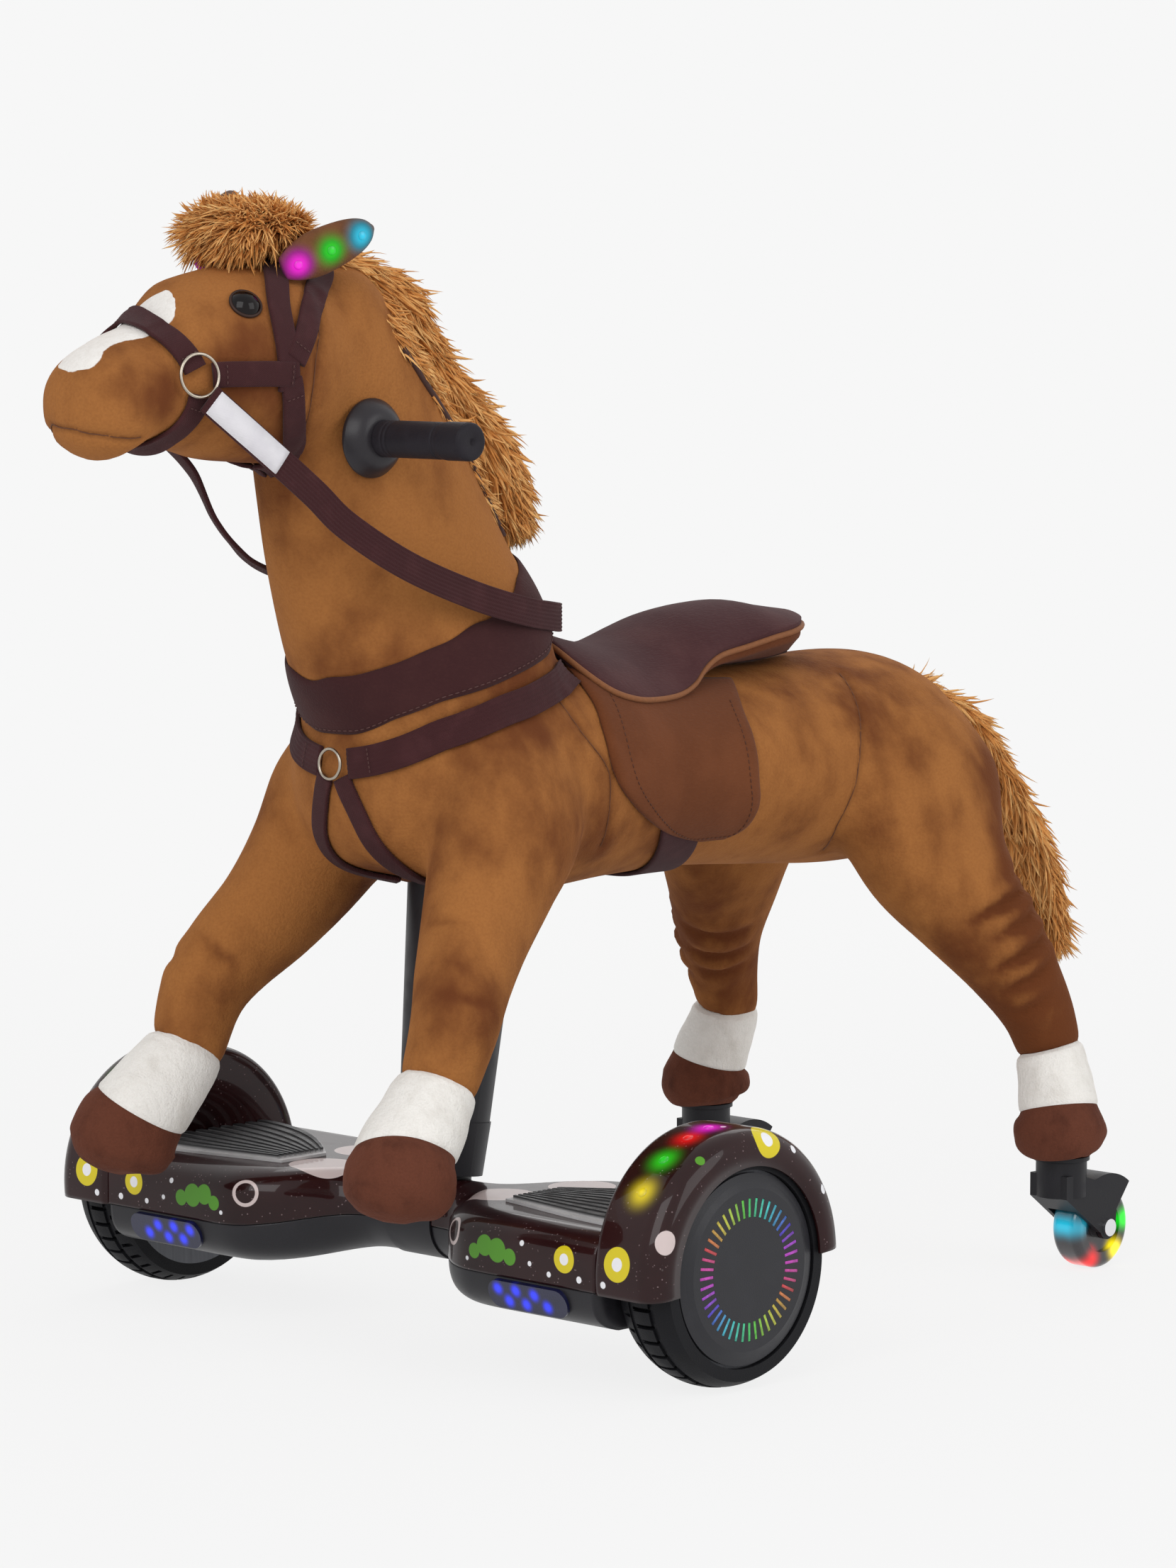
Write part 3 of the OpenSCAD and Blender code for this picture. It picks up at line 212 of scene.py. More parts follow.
def carry(mesh: bpy.types.Mesh, values: Mapping[str, Array]) -> None:
    """Stores named numbers on a mesh, one per point."""
    for key, numbers in values.items():
        mesh.attributes.new(key, "FLOAT", "POINT").data.foreach_set("value", numbers.astype(np.float32))


@dataclass
class Shape:
    """Points, faces and values of a mesh before it becomes an object.

    Args:
        points: places in millimetres from the drive axle.
        faces: blocks of faces with the same count of corners.
        uv: one pair per point, or none.
        values: named numbers, one per point.
    """

    points: Array
    faces: list[Array]
    uv: Optional[Array] = None
    values: dict[str, Array] = field(default_factory=dict)

    def outward(self) -> "Shape":
        """Turns every face round if the shape is inside out."""
        if volume(self.points, self.faces) < 0:
            self.faces = [block[:, ::-1] for block in self.faces]
        return self

    def mirrored(self) -> "Shape":
        """The same shape on the other side, still facing outwards."""
        faces = [block[:, ::-1] for block in self.faces]
        return Shape(self.points * MIRROR, faces, self.uv, dict(self.values))

    def on(self, side: Side) -> "Shape":
        """This shape as it is on the left, or its mirror image on the right."""
        return self if side is Side.LEFT else self.mirrored()

    def pair(self) -> "Shape":
        """This shape together with its mirror image."""
        return joined([self, self.mirrored()])

    def mesh(self, name: str) -> bpy.types.Mesh:
        """A Blender mesh of this shape in row-frame metres.

        Args:
            name: name of the mesh.

        Returns:
            The mesh with smooth faces, its UV map and its attributes.
        """
        made = bpy.data.meshes.new(name)
        sizes = np.concatenate([np.full(len(block), block.shape[1]) for block in self.faces])
        corners = np.concatenate([block.ravel() for block in self.faces]).astype(np.int32)
        made.vertices.add(len(self.points))
        made.vertices.foreach_set("co", to_frame(self.points).ravel())
        made.loops.add(len(corners))
        made.loops.foreach_set("vertex_index", corners)
        made.polygons.add(len(sizes))
        first = np.concatenate([[0], np.cumsum(sizes)[:-1]])
        made.polygons.foreach_set("loop_start", first.astype(np.int32))
        made.polygons.foreach_set("use_smooth", np.ones(len(sizes), bool))
        if self.uv is not None:
            layer = made.uv_layers.new(name="run")
            layer.data.foreach_set("uv", self.uv[corners].astype(np.float32).ravel())
        carry(made, self.values)
        made.update(calc_edges=True)
        made.validate()
        return made


def joined(shapes: Sequence[Shape]) -> Shape:
    """Several shapes as one, each kept whole.

    Args:
        shapes: what is joined.

    Returns:
        One shape, with the UV and the values that all of them have.
    """
    start = 0
    faces: list[Array] = []
    for shape in shapes:
        faces += [block + start for block in shape.faces]
        start += len(shape.points)
    keys = set.intersection(*[set(shape.values) for shape in shapes])
    has_uv = all(shape.uv is not None for shape in shapes)
    return Shape(
        np.concatenate([shape.points for shape in shapes]),
        faces,
        np.concatenate([shape.uv for shape in shapes]) if has_uv else None,
        {key: np.concatenate([shape.values[key] for shape in shapes]) for key in keys},
    )


def repeated(faces: Array, count: int, step: int) -> Array:
    """The faces of one small form for so many of them, each with so many points."""
    return (np.arange(count)[:, None, None] * step + faces[None]).reshape(-1, faces.shape[1])


def skinned(rings: Array, uv: Optional[Array] = None, closed: bool = False) -> Shape:
    """A skin over rings of points, each ring joined to the next one.

    Args:
        rings: n rings of m points.
        uv: one pair per point, or none.
        closed: whether the last ring meets the first; otherwise both are capped.

    Returns:
        The closed shape, facing outwards.
    """
    n, m = rings.shape[:2]
    faces = [grid_faces(n, m, closed, True)]
    if not closed:
        faces += [np.arange(m)[None, ::-1], (n - 1) * m + np.arange(m)[None]]
    return Shape(rings.reshape(-1, 3), faces, uv).outward()


def layered(top: Array, under: Array, closed: bool = False) -> Shape:
    """A sheet between two nets of points, closed round its edges."""
    return skinned(np.concatenate([top, under[:, ::-1]], 1), None, closed)


def run_uv(path: Array, profile: Array) -> Array:
    """UV of a profile carried along a path: millimetres along and across."""
    return np.stack(np.broadcast_arrays(run_of(path)[:, None], profile[:, 0]), -1).reshape(-1, 2)


def sweep(path: Array, side: Array, rise: Array, profile: Array, closed: bool = False) -> Shape:
    """A profile carried along a path.

    Point (i, j) is path i plus profile j's first number times side i and its second times rise i.

    Args:
        path: n places.
        side: n unit vectors across the path.
        rise: n unit vectors out of the path.
        profile: m pairs.
        closed: whether the path's end meets its start.

    Returns:
        A closed shape whose UV runs in millimetres along and across.
    """
    rings = path[:, None] + profile[:, :1] * side[:, None] + profile[:, 1:] * rise[:, None]
    return skinned(rings, run_uv(path, profile), closed)


def round_profile(radius: float, sides: int = 10) -> Array:
    """A circle about the path as profile pairs."""
    w = np.arange(sides) * 2 * np.pi / sides
    return radius * np.stack([np.cos(w), np.sin(w)], 1)


def tube(path: Array, radius: float, sides: int = 10, closed: bool = False) -> Shape:
    """A round cord along a path, its section square to the path."""
    ahead = along(path, closed)
    side = unit(np.cross(ahead, unit(UP + 0.01 * ahead[:, ::-1])))
    return sweep(path, side, np.cross(side, ahead), round_profile(radius, sides), closed)


def revolved(profile: Array, origin: Array, axis: Array, turns: int = 64) -> Shape:
    """A closed profile of (radius, height) pairs turned a full round about an axis.

    Args:
        profile: pairs in order round the section.
        origin: foot of the axis.
        axis: unit direction of the heights.
        turns: steps of the round.

    Returns:
        The closed ring-shaped solid.
    """
    helper = UP if abs(axis[2]) < 0.9 else np.array([0.0, 1.0, 0.0])
    side = unit(np.cross(helper, axis))
    w = np.arange(turns)[:, None, None] * 2 * np.pi / turns
    radial = np.cos(w) * side + np.sin(w) * np.cross(axis, side)
    return skinned(origin + profile[:, :1] * radial + profile[:, 1:] * axis, closed=True)


def ring(
    centre: Array, normal: Array, radius: float, wire: float, tall: float = 1.0, turns: int = 56
) -> Shape:
    """A round wire ring square to a normal, its section so many times as tall as wide."""
    return revolved(round_profile(wire, 12) * [1, tall] + [radius, 0], centre, normal, turns)


@dataclass(frozen=True)
class Loft:
    """A soft form: rounded sections along a spine.

    Args:
        shares: rows of place, half width and half depth as shares.
        root: the spine's start.
        span: what a whole share of place measures.
        girth: what a whole share of width and depth measures.
    """

    shares: tuple
    root: tuple
    span: tuple
    girth: tuple
    step: float = 0.001
    end_power: int = 9

    def rows(self) -> Array:
        """The table in millimetres: place, half width, half depth."""
        s = np.array(self.shares, float)
        places = np.array(self.root) + s[:, :3] * np.array(self.span)
        return np.concatenate([places, s[:, 3:] * np.array(self.girth) / 2], 1)

    def frame(self, t: Array) -> tuple[Array, Array, Array, Array]:
        """The spine's table and axes, the heading from a small step to both sides.

        Args:
            t: shares of the spine.

        Returns:
            Rows, headings, sides and ups there.
        """
        rows = self.rows()
        row = row_at(rows, t)
        ahead = unit((row_at(rows, t + self.step) - row_at(rows, t - self.step))[..., :3])
        side = unit(LEFTWARD - ahead[..., :1] * ahead)
        return row, ahead, side, np.cross(ahead, side)

    def point(self, t: Array, w: Array, grow: Union[float, Array] = 0.0) -> Array:
        """Place at share t of the spine and angle w, in degrees, round it.

        The section is an ellipse: its half sizes times the cosine and sine of w, along side and up.

        Args:
            t: shares of the spine.
            w: angles round it.
            grow: how far outside the form.

        Returns:
            Places with the broadcast shape of t and w.
        """
        t, w, grow = np.broadcast_arrays(np.asarray(t, float), np.radians(w), np.asarray(grow, float))
        row, ahead, side, up = self.frame(t)
        g = grow[..., None]
        lead = g * (2 * t[..., None] - 1) ** self.end_power * ahead
        return (
            row[..., :3]
            + lead
            + (row[..., 3:4] + g) * np.cos(w)[..., None] * side
            + (row[..., 4:5] + g) * np.sin(w)[..., None] * up
        )

    def normal(self, t: Array, w: Array) -> Array:
        """Unit normal: the cross of the slopes round and along the form.

        Args:
            t: shares of the spine.
            w: angles round it.

        Returns:
            Outward directions.
        """
        du = self.point(np.minimum(t + self.step, 1), w) - self.point(np.maximum(t - self.step, 0), w)
        dw = self.point(t, w + 1) - self.point(t, w - 1)
        return unit(np.cross(dw, du))

    def shape(self, nt: int, nw: int, start: float = 0.0, end: float = 1.0, grow: float = 0.0) -> Shape:
        """The closed form from one share of its spine to another, capped at both ends."""
        return skinned(self.point(np.linspace(start, end, nt)[:, None], degrees(nw), grow))

    def path(self, table: Sequence[Sequence[float]], count: int = 90) -> Array:
        """A dense path on the form through a table of spine shares and angles."""
        return self.point(*dense(table, count).T)


TORSO = Loft(
    (
        (0, 0, 0.045, 0.11, 0.16), (0, 0.02, 0.045, 0.5, 0.56), (0, 0.075, 0.035, 0.83, 0.88),
        (0, 0.16, 0.015, 0.99, 1), (0, 0.275, 0, 1, 0.98), (0, 0.41, -0.03, 0.94, 0.86),
        (0, 0.54, -0.05, 0.92, 0.81), (0, 0.675, -0.07, 0.95, 0.83), (0, 0.81, -0.07, 1.01, 0.89),
        (0, 0.9, -0.06, 0.98, 0.85), (0, 0.963, -0.045, 0.75, 0.66), (0, 0.992, -0.035, 0.45, 0.41),
        (0, 1, -0.03, 0.11, 0.11),
    ),
    (0, -95, 392), (0, 600, 176), (212, 176),
)
NECK = Loft(
    (
        (0, 0, 0, 1, 0.88), (0, 0.09, 0.14, 0.98, 0.92), (0, 0.265, 0.28, 0.84, 0.92),
        (0, 0.42, 0.43, 0.73, 0.88), (0, 0.545, 0.575, 0.66, 0.82), (0, 0.675, 0.715, 0.625, 0.72),
        (0, 0.84, 0.85, 0.59, 0.6), (0, 0.935, 0.94, 0.52, 0.5), (0, 0.985, 0.985, 0.34, 0.3),
        (0, 1, 1, 0.09, 0.08),
    ),
    (0, 2, 425), (0, -136, 317), (176, 200),
)
HEAD = Loft(
    (
        (0, 0, 0, 0.47, 0.45), (0, 0.085, -0.015, 0.78, 0.83), (0, 0.235, -0.045, 0.97, 1),
        (0, 0.405, -0.05, 1, 0.985), (0, 0.545, -0.075, 0.91, 0.91), (0, 0.67, -0.12, 0.78, 0.73),
        (0, 0.785, -0.195, 0.72, 0.64), (0, 0.885, -0.24, 0.7, 0.575), (0, 0.953, -0.258, 0.58, 0.47),
        (0, 0.987, -0.265, 0.34, 0.29), (0, 1, -0.265, 0.09, 0.08),
    ),
    (0, -100, 690), (0, -235, 132), (128, 132),
)
FRONT_LIMB = Loft(
    (
        (0, 0, 0, 0.87, 0.82), (0.25, 0.08, 0.145, 0.955, 0.88), (0.35, 0.215, 0.28, 0.87, 0.735),
        (0.49, 0.365, 0.4, 0.76, 0.6), (0.675, 0.51, 0.5, 0.685, 0.515), (0.8, 0.605, 0.59, 0.63, 0.455),
        (0.8, 0.69, 0.715, 0.565, 0.4), (0.84, 0.78, 0.785, 0.64, 0.45), (0.89, 0.885, 0.855, 0.72, 0.5),
        (0.94, 0.94, 0.9, 0.8, 0.55), (0.975, 0.973, 0.948, 0.76, 0.53), (0.993, 0.992, 0.98, 0.565, 0.4),
        (1, 1, 1, 0.17, 0.12),
    ),
    (62, 5, 415), (80, -183, -297.5), (92, 136),
)
REAR_LIMB = Loft(
    (
        (0, 0, 0, 0.875, 0.915), (0.185, 0.03, 0.12, 1, 1), (0.34, 0.155, 0.265, 1, 0.855),
        (0.525, 0.405, 0.405, 0.855, 0.635), (0.71, 0.67, 0.54, 0.69, 0.44),
        (0.815, 0.94, 0.655, 0.56, 0.34), (0.855, 1.08, 0.75, 0.51, 0.305), (0.915, 1.05, 0.82, 0.56, 0.34),
        (0.975, 1, 0.89, 0.625, 0.37), (0.99, 0.985, 0.93, 0.71, 0.42), (1, 0.985, 0.968, 0.69, 0.415),
        (1, 1, 0.992, 0.54, 0.315), (1, 1, 1, 0.4, 0.23),
    ),
    (62, 410, 400), (118, 64, -311.5), (92, 164),
)
FUR_GIRTH = (84, 64)
FORELOCK = Loft(
    (
        (0, 0, 0, 0.35, 0.35), (0, 0.17, 0.4, 0.75, 0.65), (0, 0.41, 0.6, 0.95, 0.72),
        (0, 0.66, 0.5, 0.95, 0.72), (0, 0.86, 0.2, 0.75, 0.58), (0, 1, -0.2, 0.3, 0.25),
    ),
    (0, -128, 764), (0, -98, 20), FUR_GIRTH,
)
MANE = Loft(
    (
        (0, 0, 0, 0.3, 0.3), (0, 0.16, 0.02, 0.6, 0.66), (0, 0.335, 0.08, 0.65, 0.75),
        (0, 0.46, 0.13, 0.65, 0.8), (0, 0.535, 0.24, 0.65, 0.8), (0, 0.615, 0.355, 0.65, 0.8),
        (0, 0.7, 0.455, 0.65, 0.82), (0, 0.82, 0.56, 0.65, 0.86), (0, 0.91, 0.66, 0.65, 0.88),
        (0, 0.965, 0.78, 0.62, 0.86), (0, 1, 0.88, 0.5, 0.7), (0, 1, 1, 0.15, 0.2),
    ),
    (0, -140, 758), (0, 212, -205), FUR_GIRTH,
)
TAIL = Loft(
    (
        (0, 0, 0, 0.36, 0.45), (0, 0.245, 0.057, 0.55, 0.55), (0, 0.452, 0.148, 0.7, 0.63),
        (0, 0.596, 0.291, 0.8, 0.7), (0, 0.74, 0.47, 0.85, 0.75), (0, 0.889, 0.674, 0.78, 0.72),
        (0, 0.976, 0.852, 0.58, 0.6), (0, 1, 1, 0.15, 0.15),
    ),
    (0, 470, 436), (0, 208, -230), FUR_GIRTH,
)


class Wire:
    """A node's socket whose operators add Math nodes."""

    def __init__(self, nodes: "Nodes", socket: bpy.types.NodeSocket) -> None:
        """Keeps the tree's helper and the socket."""
        self.nodes = nodes
        self.socket = socket

    def _math(self, operation: str, first: Link, second: Link = 0.0) -> "Wire":
        """A Math node on two values."""
        return self.nodes.node("Math", {"operation": operation}, {0: first, 1: second})

    def __add__(self, other: Link) -> "Wire":
        """Sum."""
        return self._math("ADD", self, other)

    __radd__ = __add__

    def __sub__(self, other: Link) -> "Wire":
        """Difference."""
        return self._math("SUBTRACT", self, other)

    def __rsub__(self, other: Link) -> "Wire":
        """Difference from a number."""
        return self._math("SUBTRACT", other, self)

    def __mul__(self, other: Link) -> "Wire":
        """Product."""
        return self._math("MULTIPLY", self, other)

    __rmul__ = __mul__

    def __pow__(self, other: Link) -> "Wire":
        """Power."""
        return self._math("POWER", self, other)

    def __rpow__(self, other: Link) -> "Wire":
        """A number raised to this power."""
        return self._math("POWER", other, self)

    def __abs__(self) -> "Wire":
        """Size without its sign."""
        return self._math("ABSOLUTE", self)

    def lower(self, other: Link) -> "Wire":
        """The smaller of two values."""
        return self._math("MINIMUM", self, other)

    def sine(self) -> "Wire":
        """Sine of an angle in radians."""
        return self._math("SINE", self)

    def ramp(self, low: float, high: float) -> "Wire":
        """0 at low, 1 at high, eased between them."""
        eased = {"interpolation_type": "SMOOTHSTEP"}
        return self.nodes.node("MapRange", eased, {0: self, 1: low, 2: high})


class Nodes:
    """A node tree and the helpers that fill it."""

    def __init__(self, tree: bpy.types.NodeTree) -> None:
        """Keeps the tree."""
        self.tree = tree

    def node(
        self,
        kind: str,
        settings: Optional[Mapping[str, object]] = None,
        sockets: Optional[Mapping[Union[int, str], Link]] = None,
        out: Union[int, str] = 0,
    ) -> Wire:
        """Adds a node.

        Args:
            kind: the node's type without its prefix.
            settings: its properties, set before its sockets; "stops" are a ramp's places and colours.
            sockets: values or links of its inputs.
            out: which output is wanted.

        Returns:
            That output.
        """
        made = self.tree.nodes.new(f"ShaderNode{kind}")
        for key, value in (settings or {}).items():
            if key == "stops":
                bar = made.color_ramp.elements
                for k, (place, colour) in enumerate(value):
                    stop = bar[k] if k < 2 else bar.new(place)
                    stop.position = place
                    stop.color = colour
            else:
                setattr(made, key, value)
        for key, value in (sockets or {}).items():
            self.feed(made.inputs[key], value)
        return Wire(self, made.outputs[out])

    def feed(self, target: bpy.types.NodeSocket, value: Link) -> None:
        """Links a wire to a socket, or sets the socket's own value."""
        if isinstance(value, Wire):
            self.tree.links.new(value.socket, target)
        else:
            target.default_value = value

    def seen(self) -> Wire:
        """1 on rays from the camera, in reflections and through clear matter, 0 on the lamps' light."""
        rays = self.node("LightPath").socket.node.outputs
        kinds = ("Is Camera Ray", "Is Glossy Ray", "Is Transmission Ray")
        camera, glossy, clear = (Wire(self, rays[kind]) for kind in kinds)
        return (camera + glossy + clear).lower(1.0)

    def blend(self, factor: Wire, first: Wire, second: Wire, output: str) -> None:
        """Feeds the output from the first shader where the factor is 0 and the second where it is 1."""
        mixed = self.node("MixShader", None, {0: factor, 1: first, 2: second})
        self.feed(self.tree.nodes[output].inputs[0], mixed)


GLOW_POWER = 2.2


class Shader(Nodes):
    """The node tree of one material."""

    def __init__(self, name: str) -> None:
        """Starts a material with a Principled shader."""
        self.material = bpy.data.materials.new(name)
        self.material.use_nodes = True
        super().__init__(self.material.node_tree)
        self.body = self.tree.nodes["Principled BSDF"]
        self._place: Optional[Wire] = None

    def set(self, **sockets: Link) -> None:
        """Feeds the Principled shader, with underscores for the spaces in socket names."""
        for key, value in sockets.items():
            self.feed(self.body.inputs[key.replace("_", " ")], value)

    def place(self) -> Wire:
        """Object coordinates, in row-frame metres."""
        if self._place is None:
            self._place = self.node("TexCoord", out="Object")
        return self._place

    def value(self, name: str) -> Wire:
        """A named number carried by the mesh."""
        return self.node("Attribute", {"attribute_name": name}, out="Fac")

    def run(self) -> tuple[Wire, ...]:
        """Millimetres along and across the piece, from its UV map."""
        return self.axes(self.node("UVMap", {"uv_map": "run"}))[:2]

    def axes(self, vector: Wire) -> tuple[Wire, ...]:
        """The three numbers of a vector."""
        outputs = self.node("SeparateXYZ", None, {0: vector}).socket.node.outputs
        return tuple(Wire(self, output) for output in outputs)

    def stretched(self, x: float, y: float, z: float) -> Wire:
        """Object coordinates with each axis scaled."""
        return self.node("Mapping", None, {0: self.place(), 3: (x, y, z)})

    def noise(self, scale: float, detail: float = 2.0, where: Optional[Wire] = None) -> Wire:
        """Soft noise from 0 to 1 with so many grains to the metre."""
        sockets = {"Vector": where or self.place(), "Scale": scale, "Detail": detail}
        return self.node("TexNoise", None, sockets)

    def mix(self, factor: Link, first: Link, second: Link) -> Wire:
        """The first colour where the factor is 0, the second where it is 1."""
        return self.node("Mix", {"data_type": "RGBA"}, {0: factor, 6: first, 7: second}, 2)

    def vector(
        self, operation: str, sockets: Mapping[Union[int, str], Link], out: Union[int, str] = 0
    ) -> Wire:
        """A Vector Math node."""
        return self.node("VectorMath", {"operation": operation}, sockets, out)

    def apart(self, place: Sequence[float], where: Optional[Wire] = None) -> Wire:
        """Distance in metres from a place."""
        return self.vector("DISTANCE", {0: where or self.place(), 1: tuple(place)}, "Value")

    def bump(self, height: Wire, distance: float, strength: float = 1.0) -> None:
        """Feeds the shader's normal from a height, whose whole unit stands so many metres."""
        sockets = {"Strength": strength, "Distance": distance, "Height": height}
        self.set(Normal=self.node("Bump", None, sockets))

    def glow(self, lamps: Sequence["Lamp"], where: Optional[Wire] = None) -> Wire:
        """Sum of the lamps' colours, each fading with a power of its eased distance.

        Args:
            lamps: what shines.
            where: coordinates to measure from, or the object's own.

        Returns:
            The colour of the light.
        """
        total: Optional[Wire] = None
        for lamp in lamps:
            fade = self.apart(lamp.place, where).ramp(lamp.reach, 0.0) ** GLOW_POWER
            lit = self.vector("SCALE", {0: lamp.colour[:3], "Scale": fade})
            total = lit if total is None else self.vector("ADD", {0: total, 1: lit})
        return total


@dataclass(frozen=True)
class Lamp:
    """A small coloured light and how far its glow reaches, in row-frame metres."""

    place: tuple
    colour: Colour
    reach: float


@dataclass(frozen=True)
class Finish:
    """A surface finish that makes one material."""

    name: str

    def paint(self, sh: Shader) -> None:
        """Builds the finish's nodes.

        Args:
            sh: helper of the material's nodes.
        """
        raise NotImplementedError

    def material(self) -> bpy.types.Material:
        """The finish's material, made the first time it is asked for."""
        found = bpy.data.materials.get(self.name)
        if found is None:
            shader = Shader(self.name)
            self.paint(shader)
            found = shader.material
        return found


@dataclass(frozen=True)
class Plush(Finish):
    """Short brushed pile: broad patches where the nap lies the other way, and fine pile on top."""

    light: Colour
    dark: Colour
    patch: float = 8.0
    pile: float = 520.0
    sheen: float = 0.25
    low: float = 0.42
    high: float = 0.62

    def nap(self, sh: Shader, turned: Link = 0.0) -> tuple[Wire, Wire]:
        """Three scales of noise for the way the pile lies, and fine pile on top.

        Args:
            sh: helper of the material's nodes.
            turned: darkens where the nap lies down, and adds the painted shade and highlight laid on the
                coat.

        Returns:
            The colour, and the height for the bump.
        """
        broad = sh.noise(self.patch, 2.0)
        brushed = sh.noise(self.patch * 3.4, 4.0, sh.stretched(1.0, 1.0, 0.55))
        smudge = sh.noise(self.patch * 9.0, 3.0, sh.stretched(0.7, 1.0, 0.7))
        pile = sh.noise(self.pile, 3.0)
        shade = (broad * 0.5 + brushed * 0.34 + smudge * 0.16 + turned).ramp(self.low, self.high)
        colour = sh.mix(shade, self.light, self.dark)
        colour = sh.mix(pile.ramp(0.3, 0.75) * 0.18, colour, self.dark)
        return colour, pile * 0.6 + brushed * 1.2 + smudge * 0.6

    def lay(self, sh: Shader, colour: Wire, height: Wire) -> None:
        """Matt pile with its soft rim light."""
        sh.set(Base_Color=colour, Roughness=0.92, Sheen_Weight=self.sheen, Sheen_Roughness=0.45)
        sh.set(Sheen_Tint=self.light, Specular_IOR_Level=0.15)
        sh.bump(height, 0.0016, 0.7)

    def paint(self, sh: Shader) -> None:
        """The nap alone."""
        self.lay(sh, *self.nap(sh))


@dataclass(frozen=True)
class BodyPlush(Plush):
    """The horse's coat, with its white blaze, its sewn seams, and its nap patches with painted shade, from
    the mesh's own values.
    """

    white: Colour = srgb(236, 233, 229)
    seam: Colour = srgb(74, 38, 18)

    def paint(self, sh: Shader) -> None:
        """Nap with its painted shade and highlight, then the blaze where its distance is above 0, then the
        seams close to their lines.
        """
        colour, height = self.nap(sh, sh.value("nap"))
        tint = sh.noise(240.0, 2.0).ramp(0.3, 0.8)
        white = sh.mix(tint * 0.25, self.white, srgb(205, 198, 190))
        blaze = (sh.value("blaze") + (sh.noise(160.0, 2.0) - 0.5) * 1.6).ramp(-0.5, 0.5)
        line = sh.value("seam").ramp(4.6, 0.6)
        self.lay(sh, sh.mix(line * 0.4, sh.mix(blaze, colour, white), self.seam), height)


@dataclass(frozen=True)
class LongFur(Finish):
    """Long fur: each lock has its own shade, darker at its root as painted shade between the locks and paler
    at its tip as a painted highlight.
    """

    root: Colour
    middle: Colour
    tip: Colour

    def paint(self, sh: Shader) -> None:
        """A ramp over the locks' shade, streaked along each lock by noise drawn out on its UV map."""
        run, across = sh.run()
        drawn = sh.node("CombineXYZ", None, {0: run * 0.035, 1: across * 1.25})
        strand = sh.noise(1.0, 2.0, drawn) - 0.5
        stops = [(0.0, self.root), (0.5, self.middle), (1.0, self.tip)]
        colour = sh.node("ValToRGB", {"stops": stops}, {0: sh.value("shade") + strand * 0.75})
        sh.set(Base_Color=colour, Roughness=0.7, Sheen_Weight=0.25, Sheen_Roughness=0.4)
        sh.set(Sheen_Tint=self.tip, Specular_IOR_Level=0.2)
        sh.bump(strand, 0.0012, 0.8)


@dataclass(frozen=True)
class Webbing(Finish):
    """Woven strap: fine cross threads over its length, worn paler on the ribs."""

    thread: Colour
    worn: Colour
    pitch: float = 1.3

    def paint(self, sh: Shader) -> None:
        """Waves across the strap and along it make the weave."""
        weft, warp = ((way * (2 * np.pi / self.pitch)).sine() for way in sh.run())
        weave = weft * warp * 0.5 + 0.5
        wear = sh.noise(60.0, 3.0).ramp(0.45, 0.75)
        colour = sh.mix(weave * 0.3 + wear * 0.35, self.thread, self.worn)
        sh.set(Base_Color=colour, Roughness=0.85, Sheen_Weight=0.05, Specular_IOR_Level=0.1)
        sh.bump(weave + sh.noise(700.0) * 0.5, 0.0004, 0.8)


@dataclass(frozen=True)
class Felt(Finish):
    """Matted fibres, a little cloudy, with a lint of paler ones."""

    base: Colour
    cloud: Colour
    fibre: float = 650.0

    def paint(self, sh: Shader) -> None:
        """Two scales of noise for clouds and fibres."""
        clouds = sh.noise(22.0, 4.0).ramp(0.4, 0.7)
        fibres = sh.noise(self.fibre, 4.0, sh.stretched(1.0, 0.35, 1.0))
        colour = sh.mix(clouds * 0.6, self.base, self.cloud)
        colour = sh.mix(fibres.ramp(0.45, 0.8) * 0.35, colour, self.cloud)
        sh.set(Base_Color=colour, Roughness=0.95, Specular_IOR_Level=0.08)
        sh.set(Sheen_Weight=0.06, Sheen_Roughness=0.5)
        sh.bump(fibres, 0.0007, 0.7)


@dataclass(frozen=True)
class Thread(Finish):
    """Sewing thread or piping with its twist."""

    colour: Colour

    def paint(self, sh: Shader) -> None:
        """Slightly uneven colour."""
        shade = sh.noise(500.0, 2.0)
        sh.set(Base_Color=sh.mix(shade, self.colour, dimmed(self.colour, 0.6)), Roughness=0.8)
        sh.bump(shade, 0.0004, 0.5)


@dataclass(frozen=True)
class Plastic(Finish):
    """Moulded plastic with a fine grain and faint scuffs."""

    colour: Colour
    worn: Colour
    rough: float = 0.45
    grain: float = 1400.0
    coat: float = 0.0

    def paint(self, sh: Shader) -> None:
        """Grain in the bump, scuffs in the roughness."""
        scuff = sh.noise(35.0, 5.0).ramp(0.5, 0.8)
        grain = sh.noise(self.grain, 1.0)
        sh.set(
            Base_Color=sh.mix(scuff * 0.5, self.colour, self.worn),
            Roughness=scuff * 0.16 + self.rough,
            Coat_Weight=self.coat,
            Coat_Roughness=0.12,
            Specular_IOR_Level=0.28,
        )
        sh.bump(grain, 0.00012, 0.6)


@dataclass(frozen=True)
class Rubber(Finish):
    """Dull rubber with dust in its pores."""

    colour: Colour
    dust: Colour
    amount: float = 0.5

    def paint(self, sh: Shader) -> None:
        """Clouds of dust and a pitted surface."""
        cloud = sh.noise(48.0, 5.0).ramp(0.42, 0.75)
        pores = sh.noise(800.0, 2.0)
        colour = sh.mix(cloud * self.amount, self.colour, self.dust)
        sh.set(Base_Color=colour, Roughness=cloud * 0.15 + 0.55, Specular_IOR_Level=0.14)
        sh.bump(pores, 0.0003, 0.6)


